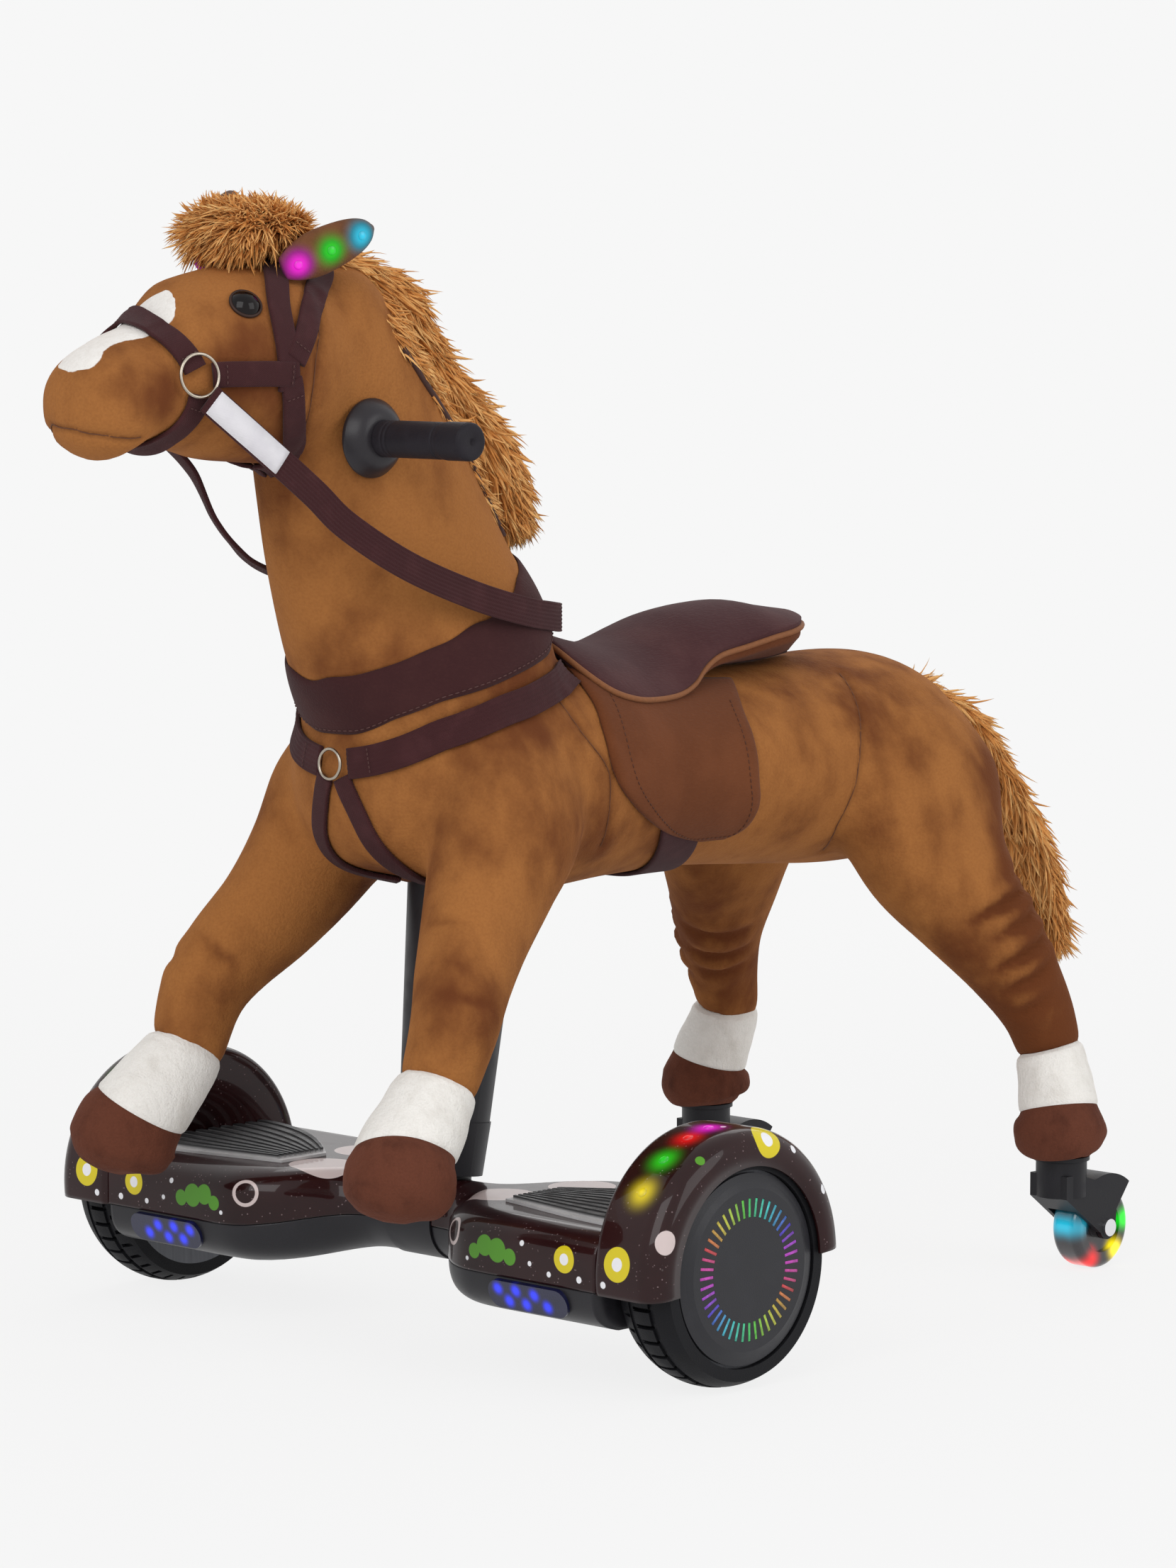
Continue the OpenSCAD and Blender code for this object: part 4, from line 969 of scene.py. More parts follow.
@dataclass(frozen=True)
class Metal(Finish):
    """Bright or dull metal with fine brushed streaks."""

    colour: Colour
    rough: float = 0.28

    def paint(self, sh: Shader) -> None:
        """Streaks in colour and roughness."""
        streak = sh.noise(400.0, 2.0, sh.stretched(1.0, 1.0, 0.08))
        colour = sh.mix(streak, self.colour, dimmed(self.colour, 0.78))
        sh.set(Base_Color=colour, Metallic=1.0, Roughness=streak * 0.18 + self.rough)


@dataclass(frozen=True)
class Glass(Finish):
    """Polished dark glass bead, clouded faintly with brown: a painted reflection of the coat."""

    colour: Colour

    def paint(self, sh: Shader) -> None:
        """Nearly black with a clear coat, and a brown cloud as painted reflection."""
        cloud = sh.noise(90.0, 2.0)
        sh.set(Base_Color=sh.mix(cloud * 0.4, self.colour, srgb(36, 22, 16)), Roughness=0.1)
        sh.set(Coat_Weight=0.12, Coat_Roughness=0.02, Specular_IOR_Level=0.14)


@dataclass(frozen=True)
class LitPlastic(Finish):
    """Moulded plastic or plush that lamps set in it light up around them."""

    colour: Colour
    worn: Colour
    lamps: tuple
    rough: float = 0.4
    coat: float = 0.0
    strength: float = 1.0
    grain: float = 900.0
    depth: float = 0.0002

    def paint(self, sh: Shader) -> None:
        """Plain grain, dark where a lamp shines through so that the glow keeps its colour."""
        cloud = sh.noise(60.0, 4.0).ramp(0.4, 0.75)
        grain = sh.noise(self.grain, 2.0)
        glow = sh.glow(self.lamps)
        bright = sh.vector("LENGTH", {0: glow}, "Value")
        plain = sh.mix(cloud * 0.6, self.colour, self.worn)
        sh.set(
            Base_Color=sh.mix((bright * 2.4).lower(0.9), plain, srgb(8, 8, 8)),
            Roughness=cloud * 0.12 + self.rough,
            Coat_Weight=self.coat,
            Emission_Color=glow,
            Emission_Strength=self.strength,
        )
        sh.bump(grain, self.depth, 0.6)


@dataclass(frozen=True)
class TintedTicks(Finish):
    """Light bars whose hue runs round the wheel."""

    strength: float = 0.35

    def paint(self, sh: Shader) -> None:
        """Hue from the mesh's own value."""
        hue = sh.value("hue")
        flicker = sh.noise(300.0, 2.0).ramp(0.2, 0.8) * 0.2 + 0.25
        colour = sh.node("CombineColor", {"mode": "HSV"}, {0: hue, 1: 0.9, 2: flicker})
        sh.set(Base_Color=colour, Roughness=0.4, Emission_Color=colour, Emission_Strength=self.strength)


def dress(
    piece: Piece, finish: Finish, replaces: Sequence[str] = (), body: str = "horse"
) -> Piece:
    """Gives a piece its finish, the CAD nodes it stands for and its body.

    Args:
        piece: the new object.
        finish: its finish.
        replaces: names of the CAD nodes it stands for.
        body: the CAD body it moves with.

    Returns:
        The same piece.
    """
    piece.data.materials.clear()
    piece.data.materials.append(finish.material())
    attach(piece, body)
    if replaces:
        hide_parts(*replaces)
    LOG.info("%s on %s: %d faces", piece.name, body, len(piece.data.polygons))
    return piece


def placed(name: str, data: bpy.types.ID) -> Piece:
    """An object of a mesh, lamp or camera, put into the scene at the origin."""
    made = bpy.data.objects.new(name, data)
    bpy.context.scene.collection.objects.link(made)
    return made


def add(
    name: str, shape: Shape, finish: Finish, replaces: Sequence[str] = (), body: str = "horse"
) -> Piece:
    """A shape made into a piece and dressed."""
    return dress(placed(name, shape.mesh(name)), finish, replaces, body)


def cloth(middle: Array) -> None:
    """Declares a piece as flat cloth, by the longest row and column of its middle surface.

    Takes the cross product of each cell's diagonals on the middle surface of one cloth, and keeps none of
    it.

    Args:
        middle: grid of points on the middle surface of one cloth.
    """
    cells = np.cross(middle[1:, 1:] - middle[:-1, :-1], middle[1:, :-1] - middle[:-1, 1:])


def read(rows: bpy.types.bpy_prop_collection, key: str, width: int, kind: type = float) -> Array:
    """One attribute of all the rows of a mesh's table.

    Args:
        rows: the table.
        key: name of the attribute.
        width: numbers in a row.
        kind: type of the numbers.

    Returns:
        One row of numbers for each.
    """
    flat = np.empty(len(rows) * width, kind)
    rows.foreach_get(key, flat)
    return flat.reshape(-1, width)


def move(mesh: bpy.types.Mesh, points: Array) -> Array:
    """Puts a mesh's vertices at places in millimetres, and returns its new normals."""
    mesh.vertices.foreach_set("co", to_frame(points).ravel())
    mesh.update()
    return read(mesh.vertex_normals, "vector", 3, np.float32).astype(float)


def bell(x: Array) -> Array:
    """1 at 0, falling as a bell curve to both sides."""
    return np.exp(-(x**2))


def boxed(points: Array, line: Array, reach: float) -> Array:
    """Numbers of the points in the box round a path, widened by a reach."""
    return np.flatnonzero(np.all((points > line.min(0) - reach) & (points < line.max(0) + reach), 1))


def nearest(points: Array, cloud: Array, block: int = 200) -> tuple[Array, Array]:
    """Nearest points of a cloud, by the square of a difference, in blocks.

    Args:
        points: where to look from.
        cloud: what is looked for.
        block: points worked on at once.

    Returns:
        Number of each one's nearest point and the distance to it.
    """
    square = np.sum(cloud * cloud, 1)
    index = np.empty(len(points), int)
    for start in range(0, len(points), block):
        part = points[start:start + block]
        index[start:start + block] = np.argmin(square - 2 * part @ cloud.T, 1)
    return index, np.linalg.norm(points - cloud[index], axis=1)


def relaxed(points: Array, edges: Array, rounds: int, pull: float = 0.5) -> Array:
    """Points drawn towards the mean of their neighbours.

    Args:
        points: places.
        edges: pairs of neighbours.
        rounds: how often.
        pull: share of the way at each round.

    Returns:
        The new places.
    """
    ends = np.concatenate([edges, edges[:, ::-1]])
    count = np.bincount(ends[:, 0], minlength=len(points))[:, None]
    for _ in range(rounds):
        total = [np.bincount(ends[:, 0], points[ends[:, 1], k], len(points)) for k in range(3)]
        points = points + pull * (np.stack(total, 1) / np.maximum(count, 1) - points)
    return points


@dataclass
class Skin:
    """The finished plush surface, for laying tack on it."""

    points: Array
    normals: Array
    reach: float = 40.0

    def lay(self, wanted: Array, lift: Union[float, Array] = 0.0) -> tuple[Array, Array]:
        """Moves points onto the surface.

        Each goes to the plane of its nearest vertex, along that vertex's normal, and then out by the lift.

        Args:
            wanted: places near the surface.
            lift: how far above it.

        Returns:
            The places and the normals there.
        """
        flat = wanted.reshape(-1, 3)
        close = boxed(self.points, flat, self.reach)
        index = close[nearest(flat, self.points[close])[0]]
        normal = self.normals[index]
        height = np.sum((flat - self.points[index]) * normal, 1, keepdims=True)
        lift = np.broadcast_to(np.asarray(lift, float), wanted.shape[:-1]).reshape(-1, 1)
        laid = flat - height * normal + lift * normal
        return laid.reshape(wanted.shape), normal.reshape(wanted.shape)


def smooth_rows(values: Array, rounds: int = 3) -> Array:
    """Values along a path evened out between neighbours, with the ends kept."""
    for _ in range(rounds):
        inner = (values[:-2] + 2 * values[1:-1] + values[2:]) / 4
        values = np.concatenate([values[:1], inner, values[-1:]])
    return values


def strap_profile(width: float, thick: float, ribs: int, depth: float = 0.45) -> Array:
    """Section of a ribbed strap: a flat back, rounded edges and a top that waves.

    Args:
        width: across the strap.
        thick: through it.
        ribs: waves on its top.
        depth: from a wave's crest to its valley.

    Returns:
        Pairs of across and up, in order round the section.
    """
    steps = max(ribs * 6, 12)
    x = np.linspace(-0.47, 0.47, steps) * width
    wave = np.cos(np.linspace(0, 2 * np.pi * ribs, steps)) if ribs else np.ones(steps)
    top = np.stack([x, thick - depth / 2 + depth / 2 * wave], 1)
    right = [[0.495 * width, 0.8 * thick], [0.5 * width, 0.5 * thick], [0.49 * width, 0.12 * thick]]
    under = [[0.46 * width, 0.0], [0.0, 0.0], [-0.46 * width, 0.0]]
    left = [[-x, y] for x, y in right[::-1]]
    return np.concatenate([top, np.array(right + under + left)])


@dataclass(frozen=True)
class Sewing:
    """Length of one stitch, the step to the next one and half the thread, in millimetres."""

    length: float
    pitch: float
    radius: float


def stitches(path: Array, normal: Array, sewing: Sewing) -> Shape:
    """Short spindles of thread along a path.

    Each has four sides and four rings: its radius times a share at steps along its length.

    Args:
        path: line of the sewing.
        normal: outward directions along it.
        sewing: sizes of the stitches.

    Returns:
        All the stitches as one shape.
    """
    count = max(int(run_of(path)[-1] / sewing.pitch), 2)
    both = even(np.concatenate([path, normal], 1), count * 2 + 1)[1::2]
    spot = both[:, None, None, :3]
    rise = unit(both[:, None, None, 3:])
    ahead = along(both[:, :3])[:, None, None]
    side = unit(np.cross(rise, ahead))
    s = np.array([-0.5, -0.3, 0.3, 0.5])[None, :, None, None] * sewing.length
    r = np.array([0.15, 1.0, 1.0, 0.15])[None, :, None, None] * sewing.radius
    w = (np.arange(4) * np.pi / 2)[None, None, :, None]
    points = spot + s * ahead + r * (np.cos(w) * side + np.sin(w) * rise)
    one = np.concatenate([grid_faces(4, 4, False, True), [[3, 2, 1, 0]], [[12, 13, 14, 15]]])
    return Shape(points.reshape(-1, 3), [repeated(one, len(both), 16)]).outward()


@dataclass
class Coat:
    """The stuffed body: trunk, neck, head and upper legs as one sewn plush skin."""

    voxel: float = 4.2
    rounds: int = 14
    grow: float = 1.0
    leg_end: float = 0.512
    reach: float = 40.0
    seam_swell: float = 0.5
    seam_depth: float = 1.5
    blaze_rise: float = 0.9
    nodes: tuple = (
        "torso_plush", "neck_plush", "head_plush", "front_leg_left", "front_leg_right", "rear_leg_left",
        "rear_leg_right",
    )
    finish: BodyPlush = BodyPlush(
        "coat_plush", srgb(160, 104, 55), srgb(100, 54, 27), 7.0, 520.0, 0.2, 0.43, 0.66
    )
    thread: Thread = Thread("coat_thread", srgb(104, 60, 31))
    blaze_edge: tuple = (
        (0.43, 88), (0.45, 74), (0.48, 62), (0.507, 60), (0.53, 61), (0.555, 60), (0.603, 68), (0.66, 73),
        (0.70, 71), (0.74, 66), (0.78, 62), (0.815, 66), (0.835, 78), (0.85, 89),
    )
    mouth: tuple = (
        (0.693, -35), (0.75, -35), (0.81, -36), (0.85, -38.5), (0.91, -52), (0.943, -72), (0.946, -112),
        (0.897, -151), (0.82, -148), (0.75, -146), (0.693, -145),
    )
    jowl: tuple = ((0.2, 42), (0.223, 19), (0.24, 4), (0.243, -17), (0.233, -40), (0.22, -62))
    haunch: tuple = ((0.64, -60), (0.623, -34), (0.61, -14), (0.603, 7), (0.6, 31), (0.615, 55))
    shoulder: tuple = ((0.29, -48), (0.303, -24), (0.327, -5), (0.333, 13), (0.343, 34))
    creases: tuple = (
        ("rear", 0.262, -52, 50, 6.0, (1, -1)), ("rear", 0.292, -52, 44, 4.0, (1, -1)),
        ("rear", 0.324, -56, 66, 5.5, (1, -1)), ("rear", 0.352, -30, 70, 4.5, (1, -1)),
        ("rear", 0.24, -60, 0, 3.0, (1, -1)), ("rear", 0.39, 10, 80, 2.5, (1, -1)),
        ("rear", 0.285, 80, 172, 3.6, (-1,)), ("rear", 0.33, 80, 180, 4.2, (-1,)),
        ("rear", 0.365, 90, 176, 3.0, (-1,)), ("front", 0.28, 40, 110, 2.0, (1,)),
        ("front", 0.39, -10, 80, 1.8, (1, -1)), ("front", 0.34, 90, 170, 2.0, (-1,)),
    )
    dents: tuple = (
        ((0, -284, 622), (70, 15, 22), (0, 0, 11)), ((0, -266, 716), (48, 27, 28), (0, 0, -10)),
        ((-24, -238, 731), (17, 16, 14), (0, 0, 3.6)), ((0, -38, 308), (46, 58, 34), (0, 0, 15)),
        ((140, 478, 312), (46, 42, 42), (0, -14, 0)), ((-140, 478, 312), (46, 42, 42), (0, -14, 0)),
    )
    # Strength of the painted shade in the folds' valleys and of the fainter painted highlight on their
    # crests.
    shade: float = 0.034
    # Patches that darken the coat, or lighten it where the amount is below 0: nap lying differently, and
    # painted shade under the chest, between the legs and on the lower legs.
    nap_and_shade_patches: tuple = (
        ((168, 468, 230), (60, 56, 75), 0.3), ((-150, 435, 235), (60, 70, 50), 0.22),
        ((150, 470, 170), (60, 60, 30), 0.14), ((140, 470, 330), (40, 34, 50), 0.14),
        ((0, -30, 330), (60, 50, 40), 0.12), ((90, -50, 420), (60, 70, 70), 0.1),
        ((60, 360, 420), (80, 80, 60), 0.08), ((120, 430, 370), (60, 60, 60), 0.05),
        ((110, -90, 230), (40, 40, 50), 0.06),
        ((0, -30, 560), (120, 90, 70), -0.07), ((100, 260, 380), (60, 70, 60), -0.05),
        ((60, -190, 700), (50, 60, 50), 0.11), ((60, -100, 480), (40, 40, 40), 0.06),
        ((45, -292, 662), (15, 16, 20), 0.13), ((30, -318, 672), (14, 12, 12), 0.1),
        ((62, -232, 668), (16, 24, 18), 0.1), ((52, -250, 690), (14, 16, 20), 0.08),
        ((70, -150, 560), (40, 30, 26), 0.03), ((66, -140, 640), (30, 24, 40), -0.06),
    )

    def rough(self) -> Shape:
        """The seven forms, closed, grown by what the smoothing takes away."""
        trunk = [
            TORSO.shape(150, 110, grow=self.grow),
            NECK.shape(110, 96, grow=self.grow),
            HEAD.shape(110, 90, grow=self.grow),
        ]
        front = FRONT_LIMB.shape(60, 56, 0.0, self.leg_end, self.grow)
        rear = REAR_LIMB.shape(70, 56, 0.0, self.leg_end, self.grow)
        return joined([*trunk, joined([front, rear]).pair()])

    def lines(self) -> list[Array]:
        """The sewn seams as dense paths: the mouth round the muzzle, the others on both sides."""
        made = [HEAD.path(self.mouth)]
        for loft, table in ((HEAD, self.jowl), (TORSO, self.haunch), (TORSO, self.shoulder)):
            path = loft.path(table)
            made += [path, path * MIRROR]
        return made

    def near(self, points: Array, table: tuple) -> Array:
        """Sum of a table's amounts, each fading as a bell curve of the distance over its radii.

        Args:
            points: where it is wanted.
            table: rows of centre, radii and amount.

        Returns:
            One row per point.
        """
        total = 0.0
        for centre, radii, amount in table:
            fall = bell(np.linalg.norm((points - centre) / np.array(radii), axis=1))
            total = total + fall[:, None] * np.atleast_1d(amount)
        return total

    def folds(self, points: Array) -> Array:
        """How far folds push the legs in or out: a narrow valley with a soft swell on both sides.

        Args:
            points: the coat's vertices.

        Returns:
            Millimetres along the normals.
        """
        push = np.zeros(len(points))
        arch = np.sin(np.linspace(0, np.pi, 50))
        for limb, t, start, end, depth, sides in self.creases:
            loft = REAR_LIMB if limb == "rear" else FRONT_LIMB
            path = loft.point(t + 0.006 * arch, np.linspace(start, end, 50))
            for sign in sides:
                line = path * [sign, 1, 1]
                near = boxed(points, line, self.reach)
                line = smooth_rows(points[near][nearest(line, points[near])[0]], 8)
                index, gap = nearest(points[near], line)
                valley = 0.45 * bell((gap - 11) / 7) - bell(gap / 4.4)
                push[near] += arch[index] ** 0.7 * depth * valley
        return push

    def blaze(self, points: Array) -> Array:
        """Signed distance inside the white blaze, from its edge's angle at each share of the head.

        Args:
            points: the coat's vertices.

        Returns:
            Millimetres, above 0 inside.
        """
        t = np.linspace(0.36, 0.93, 230)[:, None]
        w = np.arange(20, 161, 1.5)[None, :]
        net = HEAD.point(t, w)
        table = np.array(self.blaze_edge, float)
        edge = np.interp(t[:, 0], table[:, 0], table[:, 1], left=92, right=92)[:, None]
        radius = 0.0174 * 0.5 * np.sum(HEAD.frame(t)[0][..., 3:], -1)
        value = (np.minimum(w, 180 - w) - edge) * radius
        near = np.flatnonzero((points[:, 1] < -215) & (points[:, 2] > 640))
        found = np.full(len(points), -20.0)
        index, gap = nearest(points[near], net.reshape(-1, 3))
        found[near] = np.where(gap < 14, np.clip(value.ravel()[index], -20, 20), -20)
        return found

    def build(self) -> Skin:
        """Remeshes the forms into one skin, evens it out, then sews and folds it.

        Returns:
            The surface for the tack.
        """
        rough = placed("coat_rough", self.rough().mesh("coat_rough"))
        remesh = rough.modifiers.new("one_skin", "REMESH")
        remesh.mode = "VOXEL"
        remesh.voxel_size = self.voxel * MM
        graph = bpy.context.evaluated_depsgraph_get()
        whole = bpy.data.meshes.new_from_object(rough.evaluated_get(graph))
        bpy.data.objects.remove(rough)
        whole.name = "plush_coat"
        points = from_frame(read(whole.vertices, "co", 3))
        points = relaxed(points, read(whole.edges, "vertices", 2, np.int32), self.rounds)
        points = points + self.near(points, self.dents)
        normals = move(whole, points)
        fold = self.folds(points)
        points = points + fold[:, None] * normals
        seams = np.concatenate(self.lines())
        gap = np.full(len(points), self.reach)
        near = boxed(points, seams, 30)
        gap[near] = np.minimum(nearest(points[near], seams)[1], self.reach)
        white = self.blaze(points)
        push = self.seam_swell * bell((gap - 8) / 5) - self.seam_depth * bell(gap / 3.4)
        push += self.blaze_rise / (1 + np.exp(-np.clip(white, -8, 8) * 2))
        points = points + push[:, None] * normals
        # turned holds the nap patches with their painted shade, then painted shade in the folds' valleys and
        # a fainter painted highlight on their crests; it is carried as the value nap.
        turned = self.near(points, self.nap_and_shade_patches)[:, 0]
        turned += self.shade * (np.maximum(-fold, 0) - 0.35 * np.maximum(fold, 0))
        carry(whole, {"seam": gap, "blaze": white, "nap": turned})
        whole.polygons.foreach_set("use_smooth", np.ones(len(whole.polygons), bool))
        skin = Skin(points, move(whole, points))
        coat = dress(placed("plush_coat", whole), self.finish, self.nodes)
        sewn = [smooth_rows(skin.lay(even(line, 120), 0.2)[0], 3) for line in self.lines()]
        add("coat_seam_thread", joined([tube(line, 0.45, 6) for line in sewn]), self.thread)
        return skin


@dataclass
class Feet:
    """White socks and dark hooves on the four legs."""

    sock_start: float = 0.497
    hoof_start: float = 0.6667
    hem: tuple = (-3.0, 0.9, 1.5, 1.6, 1.2, 1.0, 1.0, 1.0, 1.0, 1.0, 1.0, 0.8, 0.4, -1.5)
    bulge: tuple = (-0.8, 0.5, 0.8, 0.8, 0.6, 0.4, 0.2, 0.0, 0.0)
    sock: Plush = Plush(
        "sock_plush", srgb(238, 235, 230), srgb(206, 200, 192), 30.0, 700.0, 0.2, 0.45, 0.85
    )
    hoof: Plush = Plush("hoof_plush", srgb(100, 57, 42), srgb(70, 37, 27), 24.0, 620.0, 0.2, 0.44, 0.74)

    def border(self, loft: Loft, w: Array) -> Array:
        """Share of the leg where its sock meets its hoof, which slants on the front legs."""
        slant = 0.0075 - 0.014 * np.cos(np.radians(w)) + 0.033 * np.sin(np.radians(w))
        return self.hoof_start + (slant if loft is FRONT_LIMB else np.zeros_like(w))

    def pad(self, loft: Loft, start: Array, end: Array, swell: Array, steps: int = 46) -> Shape:
        """A stuffed length of leg whose outward swell changes from its start to its end.

        Args:
            loft: the leg.
            start: share of the leg where it starts, for every angle.
            end: share where it ends.
            swell: millimetres outwards at even steps of its length.
            steps: rings along it.

        Returns:
            The closed form.
        """
        share = np.linspace(0, 1, steps)[:, None]
        t = start + (end - start) * share
        grow = np.interp(share, np.linspace(0, 1, len(swell)), swell)
        t, w, grow = np.broadcast_arrays(t, degrees(t.shape[1]), grow)
        ripple = 0.35 * np.sin(np.radians(w) * 3 + t * 60) * np.sin(np.pi * share)
        return skinned(loft.point(t, w, grow) + ripple[..., None] * loft.normal(t, w))

    def build(self) -> None:
        """Socks with a turned hem at the top, hooves that bulge below them."""
        socks = []
        hooves = []
        for loft in (FRONT_LIMB, REAR_LIMB):
            edge = self.border(loft, degrees(64))
            top = np.full_like(edge, self.sock_start)
            socks.append(self.pad(loft, top, edge + 0.004, np.array(self.hem)))
            hooves.append(self.pad(loft, edge, np.ones_like(edge), np.array(self.bulge)))
        for name, left, finish, slot, node in (
            ("leg_socks", socks, self.sock, "plush_white", "socks"),
            ("plush_hooves", hooves, self.hoof, "plush_dark", "hooves"),
        ):
            add(name, joined(left).pair(), finish, (node,))


def clumped(
    root: Array, way: Array, size: Array, rng: np.random.Generator, share: float = 0.5
) -> tuple[Array, Array]:
    """Locks drawn to the tip of the one that leads their clump.

    Args:
        root: where the locks start.
        way: their directions.
        size: their lengths.
        rng: the chance numbers.
        share: how far they are drawn.

    Returns:
        The new directions, and the number of every lock's leader.
    """
    lead = rng.choice(len(root), len(root) // 13, replace=False)
    index, _ = nearest(root + 0.5 * size * way, (root + 0.5 * size * way)[lead])
    goal = root[lead][index] + 1.35 * size[lead][index] * way[lead][index]
    return unit((1 - share) * way + share * unit(goal - root)), index


FACE_SHARE = 0.12


def locks(
    loft: Loft, count: int, seed: int, length: tuple, width: float, lean: tuple, droop: float, base: float,
    comb: tuple, end: float, edge: tuple = (),
) -> Shape:
    """Locks of long fur rooted all over a loft.

    A share of the roots lies on the face that ends the form, the others all round its wall.
    A lock starts on the form and runs along a mix of the outward normal, the spine's heading, the combing
    and chance, then bends to the side and down with the square of its length; four sides narrow to one tip.

    Args:
        loft: the form that carries the fur.
        count: how many locks.
        seed: start of the chance numbers.
        length: shortest and longest lock.
        width: half a lock's width at its fullest.
        lean: shares of normal and heading in its direction.
        droop: how far its tip sinks, as a share of its length.
        base: how far the roots sit outside the form.
        comb: a direction that all the locks are combed to.
        end: share of the form's length that carries roots.
        edge: pairs of share and angle that keep the roots between an angle and its mirror image.

    Returns:
        The locks with a shade value, dark at the roots as painted shade and pale at the tips as a painted
        highlight, and a UV map along and across each.
    """
    rng = np.random.default_rng(seed)
    t = rng.uniform(0.0, end, count)
    w = rng.uniform(0, 360, count)
    if edge:
        table = np.array(edge[::-1])
        t = table[0, 0] + (end - table[0, 0]) * t / end
        low = np.interp(t, table[:, 0], table[:, 1])
        w = low + (180 - 2 * low) * w / 360
        rim = np.ones(count)
    else:
        rim = np.sqrt(np.clip((end - t) / (FACE_SHARE * end), 0, 1))
        t = np.minimum(t / (1 - FACE_SHARE), end)
    half_width = 0.5 * np.sum(loft.frame(t)[0][..., 3:], -1) + base
    root = loft.point(t, w, base + (rim - 1) * half_width)
    ahead = loft.frame(t)[1]
    normal = loft.normal(np.clip(t, 0.01, 0.99), w)
    normal = unit(rim[:, None] * normal + (1 - rim[:, None]) * ahead)
    way = unit(lean[0] * normal + lean[1] * ahead + np.array(comb) + rng.normal(0, 0.17, (count, 3)))
    size = rng.uniform(length[0], length[1], count)[:, None, None]
    way, clump = clumped(root, way, size[:, 0], rng)
    side = unit(np.cross(way, normal + 0.35 * rng.normal(0, 1, (count, 3))))
    rise = np.cross(side, way)
    s = np.array([0.0, 0.3, 0.6, 0.84, 1.0])[None, :, None]
    swing = rng.normal(0, 0.2, (count, 1, 1)) * side[:, None]
    swing = swing + rng.normal(-0.2, 0.14, (count, 1, 1)) * rise[:, None]
    spine = root[:, None] + size * (s * way[:, None] + s**2 * swing) - UP * (droop * s**2 * size)
    half = width * rng.uniform(0.6, 1.35, (count, 1, 1)) * np.array([0.9, 1.0, 0.8, 0.45])[None, :, None]
    a = np.arange(4) * np.pi / 2
    ring = spine[:, :4, None] + half[..., None] * (
        np.cos(a)[:, None] * side[:, None, None] + 0.6 * np.sin(a)[:, None] * rise[:, None, None]
    )
    points = np.concatenate([ring.reshape(count, 16, 3), spine[:, 4:]], 1)
    walls = grid_faces(4, 4, False, True)
    ends = np.array([[12 + k, 12 + (k + 1) % 4, 16] for k in range(4)])
    start = np.arange(count)[:, None, None] * 17
    run = np.concatenate([np.repeat((s[..., 0] * size[..., 0])[:, :4], 4, 1), size[:, 0]], 1)
    wide = np.concatenate([(half * np.cos(a)).reshape(count, 16), np.zeros((count, 1))], 1)
    offset = np.arange(count)[:, None] * 17.3
    tone = np.clip(rng.normal(0.5, 0.09, count) + rng.normal(0, 0.1, count)[clump], 0.1, 0.9)[:, None]
    # fade darkens the roots as painted shade between the locks and pales the tips as a painted highlight.
    fade = np.append(np.repeat([-0.24, -0.06, 0.1, 0.18], 4), 0.22)[None]
    return Shape(
        points.reshape(-1, 3),
        [
            (start + walls[None]).reshape(-1, 4),
            (start + ends[None]).reshape(-1, 3),
            (start[..., 0] + np.arange(4)[None, ::-1]),
        ],
        np.stack([run + offset, wide + offset], -1).reshape(-1, 2),
        {"shade": np.clip(tone + fade, 0, 1).ravel()},
    ).outward()


@dataclass
class LongHair:
    """Forelock, mane and tail: a soft core under thousands of locks."""

    skin: Skin
    cord: tuple = (
        (0.62, 27.5), (0.585, 30.0), (0.55, 33.0), (0.46, 46.0), (0.37, 58.0), (0.3, 62.0), (0.25, 64.0)
    )
    tape: Thread = Thread("mane_tape", srgb(66, 36, 28))
    fur: LongFur = LongFur("golden_fur", srgb(158, 94, 42), srgb(214, 144, 74), srgb(246, 198, 130))

    def tuft(self, name: str, loft: Loft, node: str, core: float, **hair: object) -> None:
        """One tuft: its core, then its locks.

        Args:
            name: name of the piece.
            loft: the form that carries the fur.
            node: the CAD node it stands for.
            core: millimetres that the core lies outside the form.
            hair: what `locks` takes besides.
        """
        inner = loft.shape(40, 40, 0.0, hair["end"], core)
        # The core sits below the locks' middle shade: painted shade under the locks.
        inner.values["shade"] = np.full(len(inner.points), 0.35)
        inner.uv = inner.points[:, :2] * 1.0
        both = joined([inner, locks(loft, base=core, **hair)])
        add(name, both, self.fur, (node,))

    def build(self) -> None:
        """The three tufts, each with its own length and fall."""
        self.tuft(
            "forelock_fur", FORELOCK, "forelock", -18.0, count=6200, seed=11, length=(15, 30), width=1.25,
            lean=(0.55, 0.25), droop=0.3, comb=(0, -0.16, 0.14), end=0.6,
        )
        self.tuft(
            "mane_fur", MANE, "mane", -18.0, count=6200, seed=12, length=(16, 30), width=1.6,
            lean=(0.42, 0.55), droop=0.2, comb=(0, 0.2, -0.15), end=0.9,
        )
        self.tuft(
            "tail_fur", TAIL, "tail", -17.0, count=6200, seed=13, length=(20, 36), width=1.6,
            lean=(0.26, 0.85), droop=0.12, comb=(0, 0, -0.1), end=0.88,
        )
        fringe = locks(
            NECK, count=5600, seed=14, length=(13, 24), width=1.5, lean=(0.36, -0.5), droop=0.12, base=-4.0,
            comb=(0, 0.25, -0.15), end=0.74, edge=((0.76, 26.0), *self.cord[:-1]),
        )
        add("mane_fringe_fur", fringe, self.fur)
        line = smooth_rows(self.skin.lay(NECK.path(self.cord, 120), 0.6)[0], 6)
        add("mane_cord", tube(line, 2.3, 10).pair(), self.tape)


